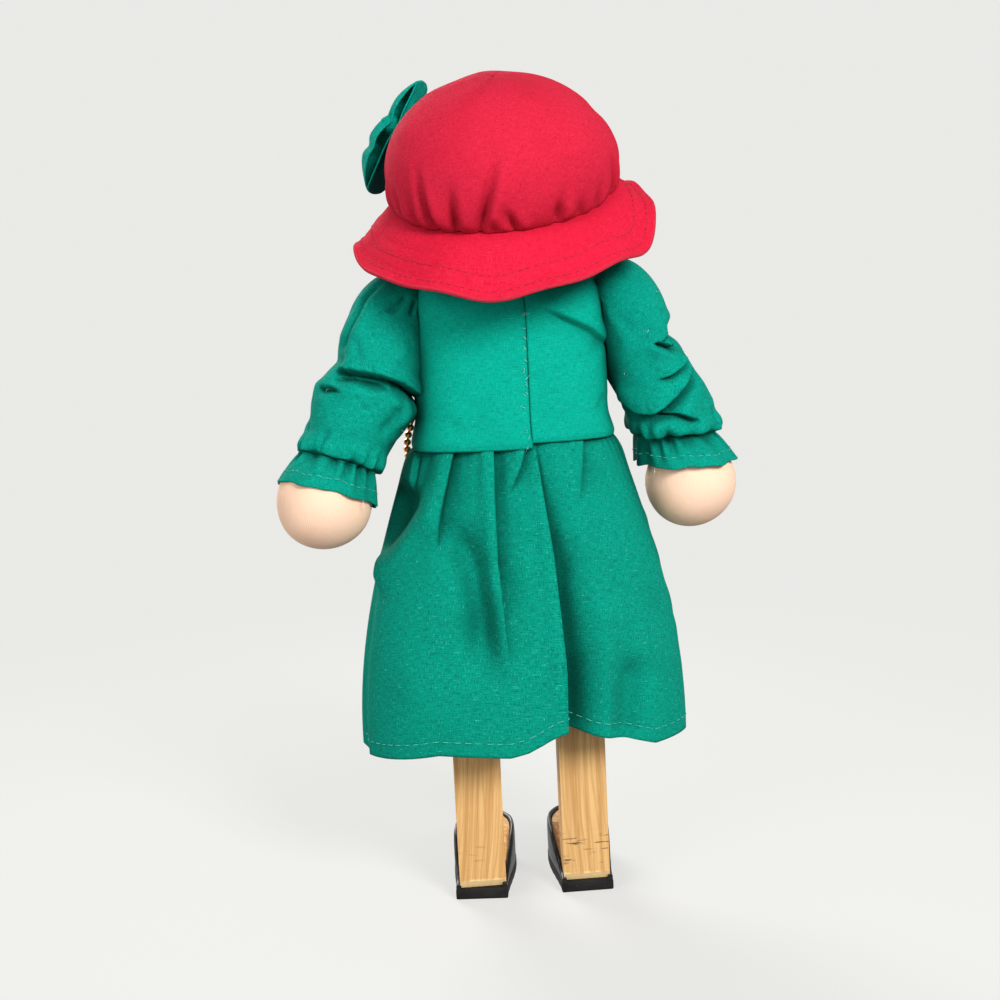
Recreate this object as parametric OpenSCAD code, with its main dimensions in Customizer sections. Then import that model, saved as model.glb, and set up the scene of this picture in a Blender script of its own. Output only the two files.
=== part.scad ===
// Clothespin doll: two clothespin halves as legs, a padded wooden body, ball
// head and hands, a gathered dress, a soft brimmed hat and a swag of beads.
// Millimetres. The doll stands on z = 0 and faces -Y; its left side is +X.

/* [Legs] */
// Width of a clothespin half
leg_w = 16.5; // [12:0.5:20]
// Depth of a clothespin half, front to back
leg_d = 11; // [8:0.5:14]
// Length of a clothespin half
leg_len = 140; // [120:1:150]
// Distance between the middles of the legs
leg_pitch = 37.4; // [30:0.2:44]
// Height of the sawn bevel at the heel end of a leg
bevel_h = 2.6; // [1:0.2:5]
// Depth of the sawn bevel at the heel end of a leg
bevel_d = 1.2; // [0.5:0.1:2.5]
// Radius of the spring seat across the inner face of a clothespin half
spring_seat_r = 3.2; // [2:0.2:4]
// Radius of the line notch near the jaw of a clothespin half
jaw_notch_r = 2.6; // [1.5:0.1:3.5]

/* [Shoes] */
// Thickness of the shoe sole
sole_t = 4; // [2:0.5:6]
// Length of the shoe from heel to toe
shoe_len = 46; // [42:0.5:52]
// Width of the shoe across the ball of the foot
shoe_w = 23; // [20:0.5:27]
// Width of the shoe at the heel
heel_w = 18.6; // [17:0.2:21]
// Height of the shoe wall at the toe, above the sole
toe_h = 13; // [8:0.5:16]
// Height of the shoe wall at the heel, above the sole
heel_h = 1.2; // [0.6:0.2:3]
// Thickness of the shoe wall
shoe_wall = 1.9; // [1:0.1:2.5]
// How far the left toe is turned in, in degrees
left_toe_in = 6; // [0:1:10]
// How far the right toe is turned in, in degrees
right_toe_in = 0; // [0:1:10]
// How far the wooden foot stays below the rim of the shoe
foot_drop = 1; // [0.5:0.1:3]

/* [Body] */
// Width of the body block at the hips
hip_w = 61; // [58:0.5:63]
// Width of the body block at the shoulders
block_w = 40; // [34:0.5:42]
// Depth of the body block
block_d = 22; // [19:0.5:23]
// Height of the underside of the body block above the floor
block_z = 104; // [98:1:112]
// Diameter of the neck dowel
neck_d = 12; // [8:0.5:14]
// Outer diameter of the ring between body block and head
neck_ring_d = 18; // [16:0.5:19]
// Diameter of the head ball
head_d = 63.5; // [58:0.5:66]
// Diameter of a screw that holds a leg
screw_d = 3.5; // [2.5:0.1:4.5]

/* [Arms] */
// Height of the shoulder pivots above the floor
shoulder_z = 204; // [201:0.5:205]
// Length of an arm from the pivot to the middle of the hand
arm_len = 63; // [58:0.5:68]
// Angle of the left arm away from the body, in degrees
left_splay = 22; // [15:0.5:24]
// Angle of the right arm away from the body, in degrees
right_splay = 19; // [15:0.5:24]
// How far the left arm hangs back, in degrees
left_swing = 12.5; // [-15:0.5:15]
// How far the right arm hangs back, in degrees
right_swing = -5; // [-15:0.5:15]
// How far the arm stands off the side of the bodice at the shoulder
arm_out = 9.4; // [6:0.2:11]
// Diameter of an arm dowel
arm_d = 9; // [6:0.5:10]
// Diameter of the flat boss at the top of an arm
boss_d = 14; // [11:0.5:16]
// Thickness of the flat boss at the top of an arm
boss_t = 6; // [4:0.5:7]
// Diameter of the elastic cord that joins the arms
elastic_d = 3; // [2:0.2:4]
// Diameter of a hand ball
hand_d = 32.2; // [28:0.2:33]
// Diameter of the knots at the ends of the elastic cord
knot_d = 6; // [5:0.2:7]

/* [Dress] */
// Thickness of the dress cloth with its seams
cloth_t = 1.2; // [0.8:0.1:1.6]
// Height of the waist seam above the floor
waist_z = 162; // [160:0.5:166]
// Height of the skirt hem above the floor
hem_z = 57.5; // [45:0.5:70]
// Width of the dress at the waist
waist_w = 69; // [67:0.5:71]
// Depth of the dress at the waist
waist_d = 44; // [42:0.5:47]
// Width of the bodice between the armholes
chest_w = 65; // [62:0.5:66]
// Depth of the bodice at the chest
chest_d = 45; // [43:0.5:48]
// Height of the shoulder line, where the bodice starts to close
yoke_z = 204.5; // [200:0.5:206]
// Height of the neck edge
neck_z = 213.6; // [212:0.2:214]
// Width of the neck opening
neck_w = 22; // [21:0.5:26]
// Width of the skirt at the hem
hem_w = 116; // [100:1:124]
// Depth of the skirt at the hem
hem_d = 63; // [58:1:76]
// Number of folds round the skirt
skirt_folds = 8; // [6:1:12]
// Depth of the skirt folds at the hem
fold_depth = 3; // [1:0.2:4.5]
// Diameter of a puffed sleeve
sleeve_d = 31; // [29:0.5:33]
// Diameter of the gathered wrist
wrist_d = 25; // [23:0.5:27]
// Diameter of the cuff frill at its edge
frill_d = 36.5; // [35:0.5:40]
// Length of the cuff frill
frill_len = 10.5; // [9:0.5:13]

/* [Hat] */
// Backward tilt of the hat, in degrees
hat_tilt = 23; // [18:1:26]
// Sideways lean of the hat towards the doll's left, in degrees
hat_lean = 4; // [0:0.5:6]
// Height of the hat band above the floor, in the middle
hat_z = 246; // [244:0.5:249]
// How far the hat sits behind the middle of the head
hat_back = 1.5; // [0:0.5:2]
// Diameter of the puffed crown
crown_d = 77; // [74:0.5:82]
// Height of the crown above the band
crown_h = 40; // [37:0.5:44]
// Height of the widest place of the crown above the band
crown_belly = 10; // [7:0.5:13]
// Number of gathers round the crown
crown_gathers = 14; // [10:1:16]
// Depth of the gathers at the band
gather_depth = 1.6; // [0.5:0.1:2]
// Mean diameter of the brim
brim_d = 102; // [96:1:108]
// How far the brim is wider behind than in front
brim_offset = 6; // [4:0.5:8]
// Drop of the brim edge below the band
brim_drop = 12; // [9:0.5:14]
// Thickness of the doubled brim
brim_t = 1.6; // [1.2:0.1:2.4]
// Length of one loop of the bow
bow_len = 17; // [12:0.5:18]
// Width of one loop of the bow at its end
bow_w = 18; // [14:0.5:20]
// Thickness of one loop of the bow
bow_t = 8; // [5:0.5:9]
// Diameter of the bow knot
bow_knot_d = 9; // [7:0.5:11]

/* [Beads] */
// Diameter of a bead
bead_d = 2.6; // [2:0.1:2.8]
// Gap between neighbouring beads
bead_gap = 0.3; // [0.1:0.1:1]
// Diameter of the thread
thread_d = 0.8; // [0.6:0.1:1.2]

/* [Hidden] */

$fn = 64;
fit = 0.05;        // running clearance of a pin in its bore
clear = 0.3;       // clearance between soft pieces and what they cover
swing_gap = 0.4;   // clearance between the bodice and a swinging sleeve

wood = "#d9b074";
cotton_green = "#0a9a80";
cotton_red = "#dd2546";
skin = "#f4d6ba";
black = "#241f1e";

// Legs and body block
leg_x = leg_pitch / 2;
leg_top = sole_t + leg_len;
leg_front = -leg_d / 2;
leg_back = leg_d / 2;
hip_top = leg_top + 3;
block_waist = waist_z - 2;
block_top = shoulder_z + 5;
head_z = block_top + 5.75 + head_d / 2;
neck_bore = head_d * 0.38;
screw_zs = [block_z + 12, leg_top - 12];
screw_head_d = 2 * screw_d;
screw_head_t = 2;
screw_bite = 4;

// Shoulders
boss_x = chest_w / 2 + arm_out - boss_t / 2;
pivot_x = boss_x + boss_t / 2;
armhole_r = boss_d / 2 + 2.5;
sleeve_plane = chest_w / 2 + swing_gap;
sleeve_cap = 1.3;
wrist_at = arm_len - frill_len - 6;
// Splay and swing of each arm
left_arm = [left_splay, left_swing];
right_arm = [right_splay, right_swing];
frill_edge = wrist_at + frill_len;

// Shoes
shoe_back = leg_back + 0.5;
shoe_ball = 0.58;

// Dress
torso_power = 2.5;
back_seam = 90;
waist_flare = 12;
skirt_cols = 7 * skirt_folds;
skirt_rows = 7;

// Hat
hat_pos = [0, hat_back, hat_z];
crown_c = crown_h - crown_belly;
crown_low = asin(-crown_belly / crown_c);
band_r = crown_d / 2 * cos(crown_low);
brim_ripples = 9;
bow_turn = -34;
bow_rise = 19;
bow_roll = hat_tilt + 2;
bow_twist = 26;

// Route of the bead swag across the front of the dress, from the left side seam
swag_route = [
    [32.9, -4.4, 173.2], [34.7, -5, 170.4], [36.4, -6.8, 165.5], [36.8, -10, 159], [34.4, -15.8, 152],
    [28, -21.8, 146], [18, -26, 141], [8, -28.2, 138.6], [-2, -28.6, 138.2],
    [-11, -27.8, 140], [-19, -25.8, 144], [-25, -22.8, 150], [-28.4, -20, 157],
    [-29.4, -18.8, 162.5], [-29.1, -17.6, 166], [-27.9, -15.4, 168.2]
];

// Triangles for one quad of a grid, seen from outside
function quad(a, b, c, d) = [[a, c, b], [a, d, c]];

// A closed sheet between an outer and an inner grid of points. Rows run upwards and
// columns run anticlockwise seen from above. With tips the sheet closes at the top.
module sheet(outer, inner, wrap = false, tips = []) {
    rows = len(outer);
    cols = len(outer[0]);
    size = rows * cols;
    spans = wrap ? cols : cols - 1;
    closed = len(tips) == 2;
    points = concat([for (r = outer) each r], [for (r = inner) each r], tips);
    function out(i, j) = i * cols + j % cols;
    function in(i, j) = size + i * cols + j % cols;
    last = rows - 1;
    walls = [
        for (i = [0 : rows - 2], j = [0 : spans - 1])
            each concat(
                quad(out(i, j), out(i, j + 1), out(i + 1, j + 1), out(i + 1, j)),
                quad(in(i, j + 1), in(i, j), in(i + 1, j), in(i + 1, j + 1))
            )
    ];
    low_edge = [
        for (j = [0 : spans - 1]) each quad(in(0, j), in(0, j + 1), out(0, j + 1), out(0, j))
    ];
    top_edge = closed
        ? [
            for (j = [0 : spans - 1])
                each [
                    [out(last, j), 2 * size, out(last, j + 1)],
                    [in(last, j + 1), 2 * size + 1, in(last, j)]
                ]
        ]
        : [
            for (j = [0 : spans - 1])
                each quad(out(last, j), out(last, j + 1), in(last, j + 1), in(last, j))
        ];
    side_edges = wrap
        ? []
        : [
            for (i = [0 : rows - 2])
                each concat(
                    quad(in(i, 0), out(i, 0), out(i + 1, 0), in(i + 1, 0)),
                    quad(out(i, spans), in(i, spans), in(i + 1, spans), out(i + 1, spans))
                )
        ];
    polyhedron(points, concat(walls, low_edge, top_edge, side_edges), convexity = 6);
}

// A closed solid through a stack of rings that run upwards
module pod(rings) {
    rows = len(rings);
    cols = len(rings[0]);
    points = concat([for (r = rings) each r], [middle(rings[0]), middle(rings[rows - 1])]);
    low = rows * cols;
    function at(i, j) = i * cols + j % cols;
    walls = [
        for (i = [0 : rows - 2], j = [0 : cols - 1])
            each quad(at(i, j), at(i, j + 1), at(i + 1, j + 1), at(i + 1, j))
    ];
    caps = [
        for (j = [0 : cols - 1])
            each [
                [at(0, j), at(0, j + 1), low],
                [at(rows - 1, j + 1), at(rows - 1, j), low + 1]
            ]
    ];
    polyhedron(points, concat(walls, caps), convexity = 6);
}

function total(list, i = 0) = i == len(list) - 1 ? list[i] : list[i] + total(list, i + 1);
function middle(ring) = total(ring) / len(ring);
function blend(a, b, t) = a + (b - a) * t;
function soft(t) = t * t * (3 - 2 * t);
function limit(v, low, high) = min(max(v, low), high);

// Superellipse point of a torso section
function power(c) = sign(c) * pow(abs(c), 2 / torso_power);
function torso_point(half_w, half_d, z, angle) =
    [half_w * power(cos(angle)), half_d * power(sin(angle)), z];

// Copies a left-hand piece to the doll's right side
module on_right() {
    mirror([1, 0, 0]) children();
}

// Legs: clothespin halves, handle end down, with the spring seat and jaw notch hidden by the skirt
module leg() {
    color(wood)
    difference() {
        translate([leg_x - leg_w / 2, leg_front, sole_t]) cube([leg_w, leg_d, leg_len]);
        translate([leg_x - leg_w, leg_back, sole_t])
            rotate([90, 0, 90])
                linear_extrude(2 * leg_w)
                    polygon([[-bevel_d, -0.01], [0.01, -0.01], [0.01, bevel_h]]);
        translate([leg_x, leg_front, sole_t + 0.58 * leg_len])
            rotate([0, 90, 0]) cylinder(r = spring_seat_r, h = 2 * leg_w, center = true);
        translate([leg_x, leg_front, sole_t + 0.82 * leg_len])
            rotate([0, 90, 0]) cylinder(r = jaw_notch_r, h = 2 * leg_w, center = true);
        for (z = screw_zs)
            translate([leg_x, 0, z])
                rotate([-90, 0, 0]) cylinder(d = screw_d + 2 * fit, h = leg_d, center = true);
    }
}

// Half width of the shoe at a share of its length, from the heel
function shoe_half(s) =
    s < shoe_ball
        ? blend(heel_w, shoe_w, soft(s / shoe_ball)) / 2
        : shoe_w / 2 * sqrt(max(0, 1 - pow((s - shoe_ball) / (1 - shoe_ball), 2.4)));

// Share of the shoe's length at a step of the outline; steps crowd towards the toe
shoe_steps = 12;
function shoe_share(i) = sin(90 * i / shoe_steps);

// Outline of the shoe drawn in by an inset, from the left heel round the toe to the right heel
function shoe_side(i, inset, side) =
    let (s = shoe_share(i), half = max(shoe_half(s) - inset, 0))
    [leg_x + side * half, shoe_back - s * (shoe_len - inset)];
function shoe_outline(inset) = concat(
    [for (i = [0 : shoe_steps]) shoe_side(i, inset, -1)],
    [for (i = [shoe_steps - 1 : -1 : 0]) shoe_side(i, inset, 1)]
);

// Turns a piece of the shoe about the leg, the toe towards the other foot
module turned_in(angle) {
    translate([leg_x, 0, 0]) rotate([0, 0, -angle]) translate([-leg_x, 0, 0]) children();
}

module sole(angle) {
    color(black) turned_in(angle) linear_extrude(sole_t) polygon(shoe_outline(0));
}

// Height of the shoe wall above the floor at a place along the shoe
function shoe_rim(y) =
    sole_t + blend(heel_h, toe_h, soft(limit((shoe_back - y) / (0.6 * shoe_len), 0, 1)));

module shoe_upper(angle) {
    outside = shoe_outline(0.2);
    inside = shoe_outline(shoe_wall);
    function column(p, z) = [p[0], p[1], z];
    color(black)
        difference() {
            turned_in(angle)
                sheet(
                    [
                        [for (p = outside) column(p, sole_t)],
                        [for (p = outside) column(p, shoe_rim(p[1]))]
                    ],
                    [
                        [for (p = inside) column(p, sole_t)],
                        [for (p = inside) column(p, shoe_rim(p[1]))]
                    ]
                );
            translate([leg_x - leg_w / 2 - fit, leg_front, 0])
                cube([leg_w + 2 * fit, 2 * leg_d, leg_len]);
        }
}

// Wooden foot inside the shoe, glued to the front of the leg; its top follows the rim
module foot(angle) {
    toe = shoe_back - shoe_len;
    step = shoe_back - 0.6 * shoe_len;
    heel = leg_front + leg_w / 2 * sin(angle) + fit;
    color(wood)
        difference() {
            turned_in(angle)
                intersection() {
                    translate([0, 0, sole_t])
                        linear_extrude(2 * toe_h) polygon(shoe_outline(shoe_wall + fit));
                    translate([leg_x - shoe_w, 0, 0])
                        rotate([90, 0, 90])
                            linear_extrude(2 * shoe_w)
                                polygon([
                                    [heel, sole_t], [heel, shoe_rim(leg_front) - foot_drop],
                                    [step, shoe_rim(step) - foot_drop], [toe, shoe_rim(toe) - foot_drop],
                                    [toe, sole_t]
                                ]);
                }
            translate([leg_x - shoe_w, leg_front, 0]) cube([2 * shoe_w, 2 * leg_d, leg_len]);
        }
}

// Body block seen from the front, grown by a clearance
function block_half(grow) = [
    [hip_w / 2 + grow, block_z - grow], [hip_w / 2 + grow, hip_top + grow],
    [block_w / 2 + grow, block_waist], [block_w / 2 + grow, block_top + grow]
];
module block_form(grow) {
    half = block_half(grow);
    outline = concat(half, [for (i = [len(half) - 1 : -1 : 0]) [-half[i][0], half[i][1]]]);
    rotate([90, 0, 0])
        linear_extrude(block_d + 2 * grow, center = true) polygon(outline);
}

module mortise() {
    translate([leg_x - leg_w / 2 - fit, leg_front - fit, block_z - 1])
        cube([leg_w + 2 * fit, leg_d + 2 * fit, leg_top - block_z + 1 + fit]);
}

module leg_screw(grow = 0) {
    for (z = screw_zs)
        translate([leg_x, 0, z])
            rotate([-90, 0, 0]) {
                translate([0, 0, leg_back - screw_bite])
                    cylinder(d = screw_d + 2 * grow, h = block_d / 2 - leg_back + screw_bite);
                translate([0, 0, block_d / 2]) cylinder(d = screw_head_d, h = screw_head_t);
            }
}

module leg_screws() {
    color("silver") {
        leg_screw();
        on_right() leg_screw();
    }
}

module body_block() {
    color(wood)
        difference() {
            block_form(0);
            mortise();
            on_right() mortise();
            leg_screw(fit);
            on_right() leg_screw(fit);
            shoulder_hole(elastic_d / 2 + fit);
            translate([0, 0, block_top - 20]) cylinder(d = neck_d + 2 * fit, h = 21);
        }
}

module neck_dowel() {
    color(wood)
        difference() {
            translate([0, 0, block_top - 20])
                cylinder(d = neck_d, h = 20 + head_z - head_d / 2 - block_top + neck_bore - 0.5);
            shoulder_hole(elastic_d / 2 + fit);
        }
}

module neck_ring() {
    inner = neck_d / 2 + fit;
    touch = head_z - sqrt(pow(head_d / 2, 2) - inner * inner);
    color(wood)
        translate([0, 0, block_top])
            difference() {
                cylinder(d = neck_ring_d, h = touch - block_top - clear);
                translate([0, 0, -1]) cylinder(r = inner, h = 20);
            }
}

// A hole through the shoulders, along the pivot axis
module shoulder_hole(r) {
    translate([0, 0, shoulder_z]) rotate([0, 90, 0]) cylinder(r = r, h = 3 * chest_w, center = true);
}

module shoulder_elastic() {
    color("white")
        translate([0, 0, shoulder_z])
            rotate([0, 90, 0])
                cylinder(d = elastic_d, h = 2 * (boss_x + boss_t + fit), center = true);
}

module shoulder_knots() {
    color("white")
        for (side = [-1, 1])
            translate([side * (boss_x + boss_t + fit + knot_d / 2), 0, shoulder_z]) sphere(d = knot_d);
}

module shoulder_bead() {
    color(wood)
        translate([block_w / 2, 0, shoulder_z])
            rotate([0, 90, 0])
                difference() {
                    cylinder(d = boss_d - 4, h = boss_x - block_w / 2 - fit);
                    translate([0, 0, -1]) cylinder(d = elastic_d + 2 * fit, h = 40);
                }
}

// Half width, half depth and height of the bodice at a step from the waist to the neck
bodice_low_rows = 3;
bodice_top_rows = 4;
function bodice_ring(i, inset) =
    i <= bodice_low_rows
        ? let (t = i / bodice_low_rows)
          [
              (i == 0 ? waist_w : chest_w) / 2 - inset,
              blend(chest_d, waist_d, pow(1 - t, 2)) / 2 - inset,
              i == 0 ? waist_z : blend(waist_z + waist_flare, yoke_z, (i - 1) / (bodice_low_rows - 1))
          ]
        : let (a = 90 * (i - bodice_low_rows) / bodice_top_rows)
          [
              blend(neck_w, chest_w, cos(a)) / 2 - inset * cos(a / 2),
              blend(neck_w - 2, chest_d, cos(a)) / 2 - inset * cos(a / 2),
              blend(yoke_z, neck_z, sin(a)) - inset * sin(a)
          ];
bodice_rows = bodice_low_rows + bodice_top_rows;

function torso_row(ring, from, to, cols) = [
    for (j = [0 : cols - 1]) torso_point(ring[0], ring[1], ring[2], blend(from, to, j / (cols - 1)))
];

// One panel of the bodice between two angles, with its share of the armhole
module bodice_panel(from, to, cols) {
    color(cotton_green)
        difference() {
            sheet(
                [for (i = [0 : bodice_rows]) torso_row(bodice_ring(i, 0), from, to, cols)],
                [for (i = [0 : bodice_rows]) torso_row(bodice_ring(i, cloth_t), from, to, cols)]
            );
            shoulder_hole(armhole_r);
        }
}

module bodice_front() {
    bodice_panel(180, 360, 17);
}

module bodice_back_left() {
    bodice_panel(0, back_seam, 9);
}

module bodice_back_right() {
    bodice_panel(back_seam, 180, 9);
}

// Batting wrapped round the body block under the bodice
module body_padding() {
    inset = cloth_t + clear;
    cols = 32;
    color("ivory")
        difference() {
            pod([
                for (i = [0 : bodice_rows])
                    let (ring = bodice_ring(i, inset))
                        [
                            for (j = [0 : cols - 1])
                                torso_point(ring[0], ring[1], max(ring[2], waist_z + clear), 360 * j / cols)
                        ]
            ]);
            block_form(clear);
            shoulder_hole(boss_d / 2 - 2 + clear);
            translate([0, 0, block_top - 1]) cylinder(d = neck_ring_d + 2 * clear, h = 30);
        }
}

// Skirt section: the hem bells out and the folds deepen towards it
function fold(angle, t) =
    fold_depth * (0.15 + 0.85 * t) * cos(skirt_folds * angle + 50 * sin(2 * angle) + 40 * t);
function skirt_point(angle, t, inset) =
    let (
        bell = sin(90 * t),
        half_w = blend(waist_w + 1, hem_w, bell) / 2 - inset,
        half_d = blend(waist_d + 1, hem_d, bell) / 2 - inset,
        out = fold(angle, t) - fold_depth * t
    )
    [
        (half_w + out) * cos(angle),
        (half_d + out) * sin(angle),
        blend(waist_z, hem_z, t)
    ];
function skirt_row(i, inset) = [
    for (j = [0 : skirt_cols - 1])
        skirt_point(360 * j / skirt_cols, 1 - i / skirt_rows, inset)
];

module skirt() {
    color(cotton_green)
        sheet(
            [for (i = [0 : skirt_rows]) skirt_row(i, 0)],
            [for (i = [0 : skirt_rows]) skirt_row(i, cloth_t)],
            wrap = true
        );
}

// A point of the arm's own frame, which hangs down from the pivot, set in the doll's frame
function arm_point(p, arm) =
    let (splay = arm[0], swing = arm[1], z = p[0] * sin(splay) + p[2] * cos(splay))
    [
        pivot_x + p[0] * cos(splay) - p[2] * sin(splay),
        p[1] * cos(swing) - z * sin(swing),
        shoulder_z + p[1] * sin(swing) + z * cos(swing)
    ];

// Sets a piece that hangs down from the origin on the left shoulder pivot
module on_arm(arm) {
    translate([pivot_x, 0, shoulder_z]) rotate([arm[1], 0, 0]) rotate([0, -arm[0], 0]) children();
}

module arm_dowel(arm) {
    color(wood)
        difference() {
            union() {
                on_arm(arm) translate([0, 0, -arm_len + 3]) cylinder(d = arm_d, h = arm_len - 3);
                translate([boss_x, 0, shoulder_z]) rotate([0, 90, 0]) cylinder(d = boss_d, h = boss_t);
            }
            shoulder_hole(elastic_d / 2 + fit);
            translate([boss_x - 20, -boss_d, shoulder_z - boss_d]) cube([20, 2 * boss_d, 2 * boss_d]);
            translate([boss_x + boss_t, -boss_d, shoulder_z - boss_d / 2]) cube([20, 2 * boss_d, boss_d * 2]);
        }
}

module hand(arm) {
    color(skin)
        on_arm(arm)
            difference() {
                translate([0, 0, -arm_len]) sphere(d = hand_d);
                translate([0, 0, -arm_len + 3 - fit]) cylinder(d = arm_d + 2 * fit, h = hand_d);
            }
}

// Radius of the sleeve at a distance down the arm: a round cap, a full middle with
// soft rings of crumpled cloth, and a gathered wrist
sleeve_cols = 26;
sleeve_rows = 13;
function sleeve_radius(down) =
    let (r = sleeve_d / 2, gather = limit((down - wrist_at + 8) / 8, 0, 1))
    down < 0
        ? sqrt(max(r * r - down * down, 0.04))
        : blend(r + sleeve_cap * sin(180 * down / wrist_at), wrist_d / 2 - 0.2, soft(gather));
function crumple(down, angle) =
    0.7 * sin(180 * limit(down / wrist_at, 0, 1)) * cos(34 * down + 60 * cos(angle));
function sleeve_point(down, angle, arm) =
    let (
        r = sleeve_radius(down) + (down > 4 ? crumple(down, angle) : 0),
        p = arm_point([r * cos(angle), r * sin(angle), -down], arm)
    )
    [max(p[0], sleeve_plane), p[1], p[2]];
function sleeve_down(i) =
    i < 4 ? -sleeve_d / 2 * cos(22.5 * i) * 0.995 : blend(0, wrist_at, (i - 4) / (sleeve_rows - 4));

module sleeve(arm) {
    color(cotton_green)
        difference() {
            pod([
                for (i = [sleeve_rows : -1 : 0])
                    [for (j = [0 : sleeve_cols - 1]) sleeve_point(sleeve_down(i), 360 * j / sleeve_cols, arm)]
            ]);
            on_arm(arm) translate([0, 0, -arm_len]) cylinder(d = arm_d + 2 * clear, h = arm_len);
            translate([sleeve_plane - 1, 0, shoulder_z])
                rotate([0, 90, 0])
                    cylinder(r = boss_d / 2 + clear, h = boss_x + boss_t + knot_d + 2 * clear - sleeve_plane + 1);
        }
}

// Cuff frill: gathered at the wrist, then flaring over the top of the hand
cuff_cols = 36;
cuff_rows = 3;
cuff_gathers = 9;
function cuff_point(t, angle, inset, arm) =
    let (
        flare = pow(t, 1.4),
        r = blend(wrist_d, frill_d, flare) / 2 - inset + 0.5 * (1 - t) * cos(cuff_gathers * angle)
    )
    arm_point([r * cos(angle), r * sin(angle), -blend(wrist_at, frill_edge, t) - clear / 3], arm);
function cuff_row(i, inset, arm) = [
    for (j = [0 : cuff_cols - 1]) cuff_point(1 - i / cuff_rows, 360 * j / cuff_cols, inset, arm)
];

module cuff(arm) {
    color(cotton_green)
        sheet(
            [for (i = [0 : cuff_rows]) cuff_row(i, 0, arm)],
            [for (i = [0 : cuff_rows]) cuff_row(i, cloth_t, arm)],
            wrap = true
        );
}

module wrist_elastic(arm) {
    wire = 0.5;
    ring_r = wrist_d / 2 - cloth_t - 0.5 - wire - clear / 2;
    color("white")
        on_arm(arm)
            translate([0, 0, -wrist_at - wire - clear])
                rotate_extrude() translate([ring_r, 0]) circle(r = wire);
}

module head_ball() {
    color(skin)
        translate([0, 0, head_z])
            difference() {
                sphere(d = head_d, $fn = 96);
                translate([0, 0, -head_d / 2 - 1]) cylinder(d = neck_d + 2 * fit, h = neck_bore + 1);
            }
}

// Sets a piece of the hat, modelled upright with the band at z = 0, on the head
module on_hat() {
    translate(hat_pos) rotate([0, hat_lean, 0]) rotate([-hat_tilt, 0, 0]) children();
}

crown_cols = 3 * crown_gathers;
crown_rows = 8;
function crown_point(i, angle, inset) =
    let (
        a = blend(crown_low, 82, i / crown_rows),
        low = pow(1 - i / crown_rows, 3),
        pinch = gather_depth * low * (1 + cos(crown_gathers * angle)) / 2,
        r = (crown_d / 2 - inset) * cos(a) - pinch
    )
    [r * cos(angle), r * sin(angle), i == 0 ? 0 : crown_belly + (crown_c - inset) * sin(a)];
function crown_row(i, inset) = [
    for (j = [0 : crown_cols - 1]) crown_point(i, 360 * j / crown_cols, inset)
];

module hat_crown() {
    color(cotton_red)
        on_hat()
            sheet(
                [for (i = [0 : crown_rows]) crown_row(i, 0)],
                [for (i = [0 : crown_rows]) crown_row(i, cloth_t)],
                wrap = true,
                tips = [[0, 0, crown_h], [0, 0, crown_h - cloth_t]]
            );
}

// Wadding between the top of the head and the crown
module hat_filling() {
    top = crown_h - cloth_t - clear;
    r = head_d / 2 + 1.5;
    color("ivory")
        difference() {
            on_hat()
                difference() {
                    translate([0, 0, top - r]) sphere(r = r);
                    translate([-2 * r, -2 * r, -4 * r + crown_belly]) cube(4 * r);
                }
            translate([0, 0, head_z]) sphere(d = head_d + 2 * clear);
        }
}

// Brim: wider behind, falling away from the band, with a rippled edge
brim_rows = 4;
brim_cols = 5 * brim_ripples;
function brim_point(t, angle, under) =
    let (
        edge = brim_d / 2 + brim_offset / 2 * sin(angle),
        inner = head_d / 2 + hat_back + 0.6,
        r = blend(inner, edge, t),
        ripple = 1.3 * t * t * sin(brim_ripples * angle + 40),
        fall = -brim_drop * soft(limit((t - 0.08) / 0.92, 0, 1)) * (0.35 + 0.65 * t)
    )
    [r * cos(angle), r * sin(angle), fall + (t < 0.1 ? 0 : ripple) - under - fit];
function brim_row(i, under) = [
    for (j = [0 : brim_cols - 1]) brim_point(1 - i / brim_rows, 360 * j / brim_cols, under)
];

module hat_brim() {
    color(cotton_red)
        on_hat()
            sheet(
                [for (i = [0 : brim_rows]) brim_row(i, 0)],
                [for (i = [0 : brim_rows]) brim_row(i, brim_t)],
                wrap = true
            );
}

// Sets a piece of the bow, modelled with its back on z = 0, on the side of the crown
module on_crown() {
    on_hat()
        rotate([0, 0, bow_turn])
            translate([crown_d / 2 * cos(bow_rise), 0, crown_belly + crown_c * sin(bow_rise)])
                rotate([0, 90 - bow_rise, 0])
                    rotate([0, 0, bow_roll]) children();
}

// One loop of the bow, pinched at the knot and flaring to its end, turned on its own length
bow_cols = 16;
bow_rows = 6;
function bow_ring(i, lift) =
    let (
        t = i / bow_rows,
        half_w = blend(bow_knot_d * 0.4, bow_w / 2, soft(limit(t * 1.3, 0, 1))) * (t > 0.95 ? 0.8 : 1),
        half_t = bow_t / 2 * (0.5 + 0.5 * sin(140 * t)) * (t > 0.95 ? 0.5 : 1),
        turn = bow_twist * soft(t)
    )
    [
        for (j = [0 : bow_cols - 1])
            let (u = half_w * power(cos(360 * j / bow_cols)), v = half_t * sin(360 * j / bow_cols))
                [
                    u * cos(turn) - v * sin(turn),
                    u * sin(turn) + v * cos(turn) + bow_knot_d / 2 + lift * t,
                    blend(bow_knot_d / 2 + fit, bow_knot_d / 2 + bow_len, t)
                ]
    ];

module bow_loop(lift) {
    color(cotton_green) pod([for (i = [0 : bow_rows]) bow_ring(i, lift)]);
}

// Stands a bow loop, modelled upwards along z, along the crown towards +X of the bow
module along_crown(turn) {
    on_crown() rotate([0, 0, turn]) rotate([0, 90, 0]) rotate([0, 0, 90]) children();
}

module bow_upper_loop() {
    along_crown(180) bow_loop(0.5);
}

module bow_lower_loop() {
    along_crown(0) mirror([1, 0, 0]) bow_loop(1);
}

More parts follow.
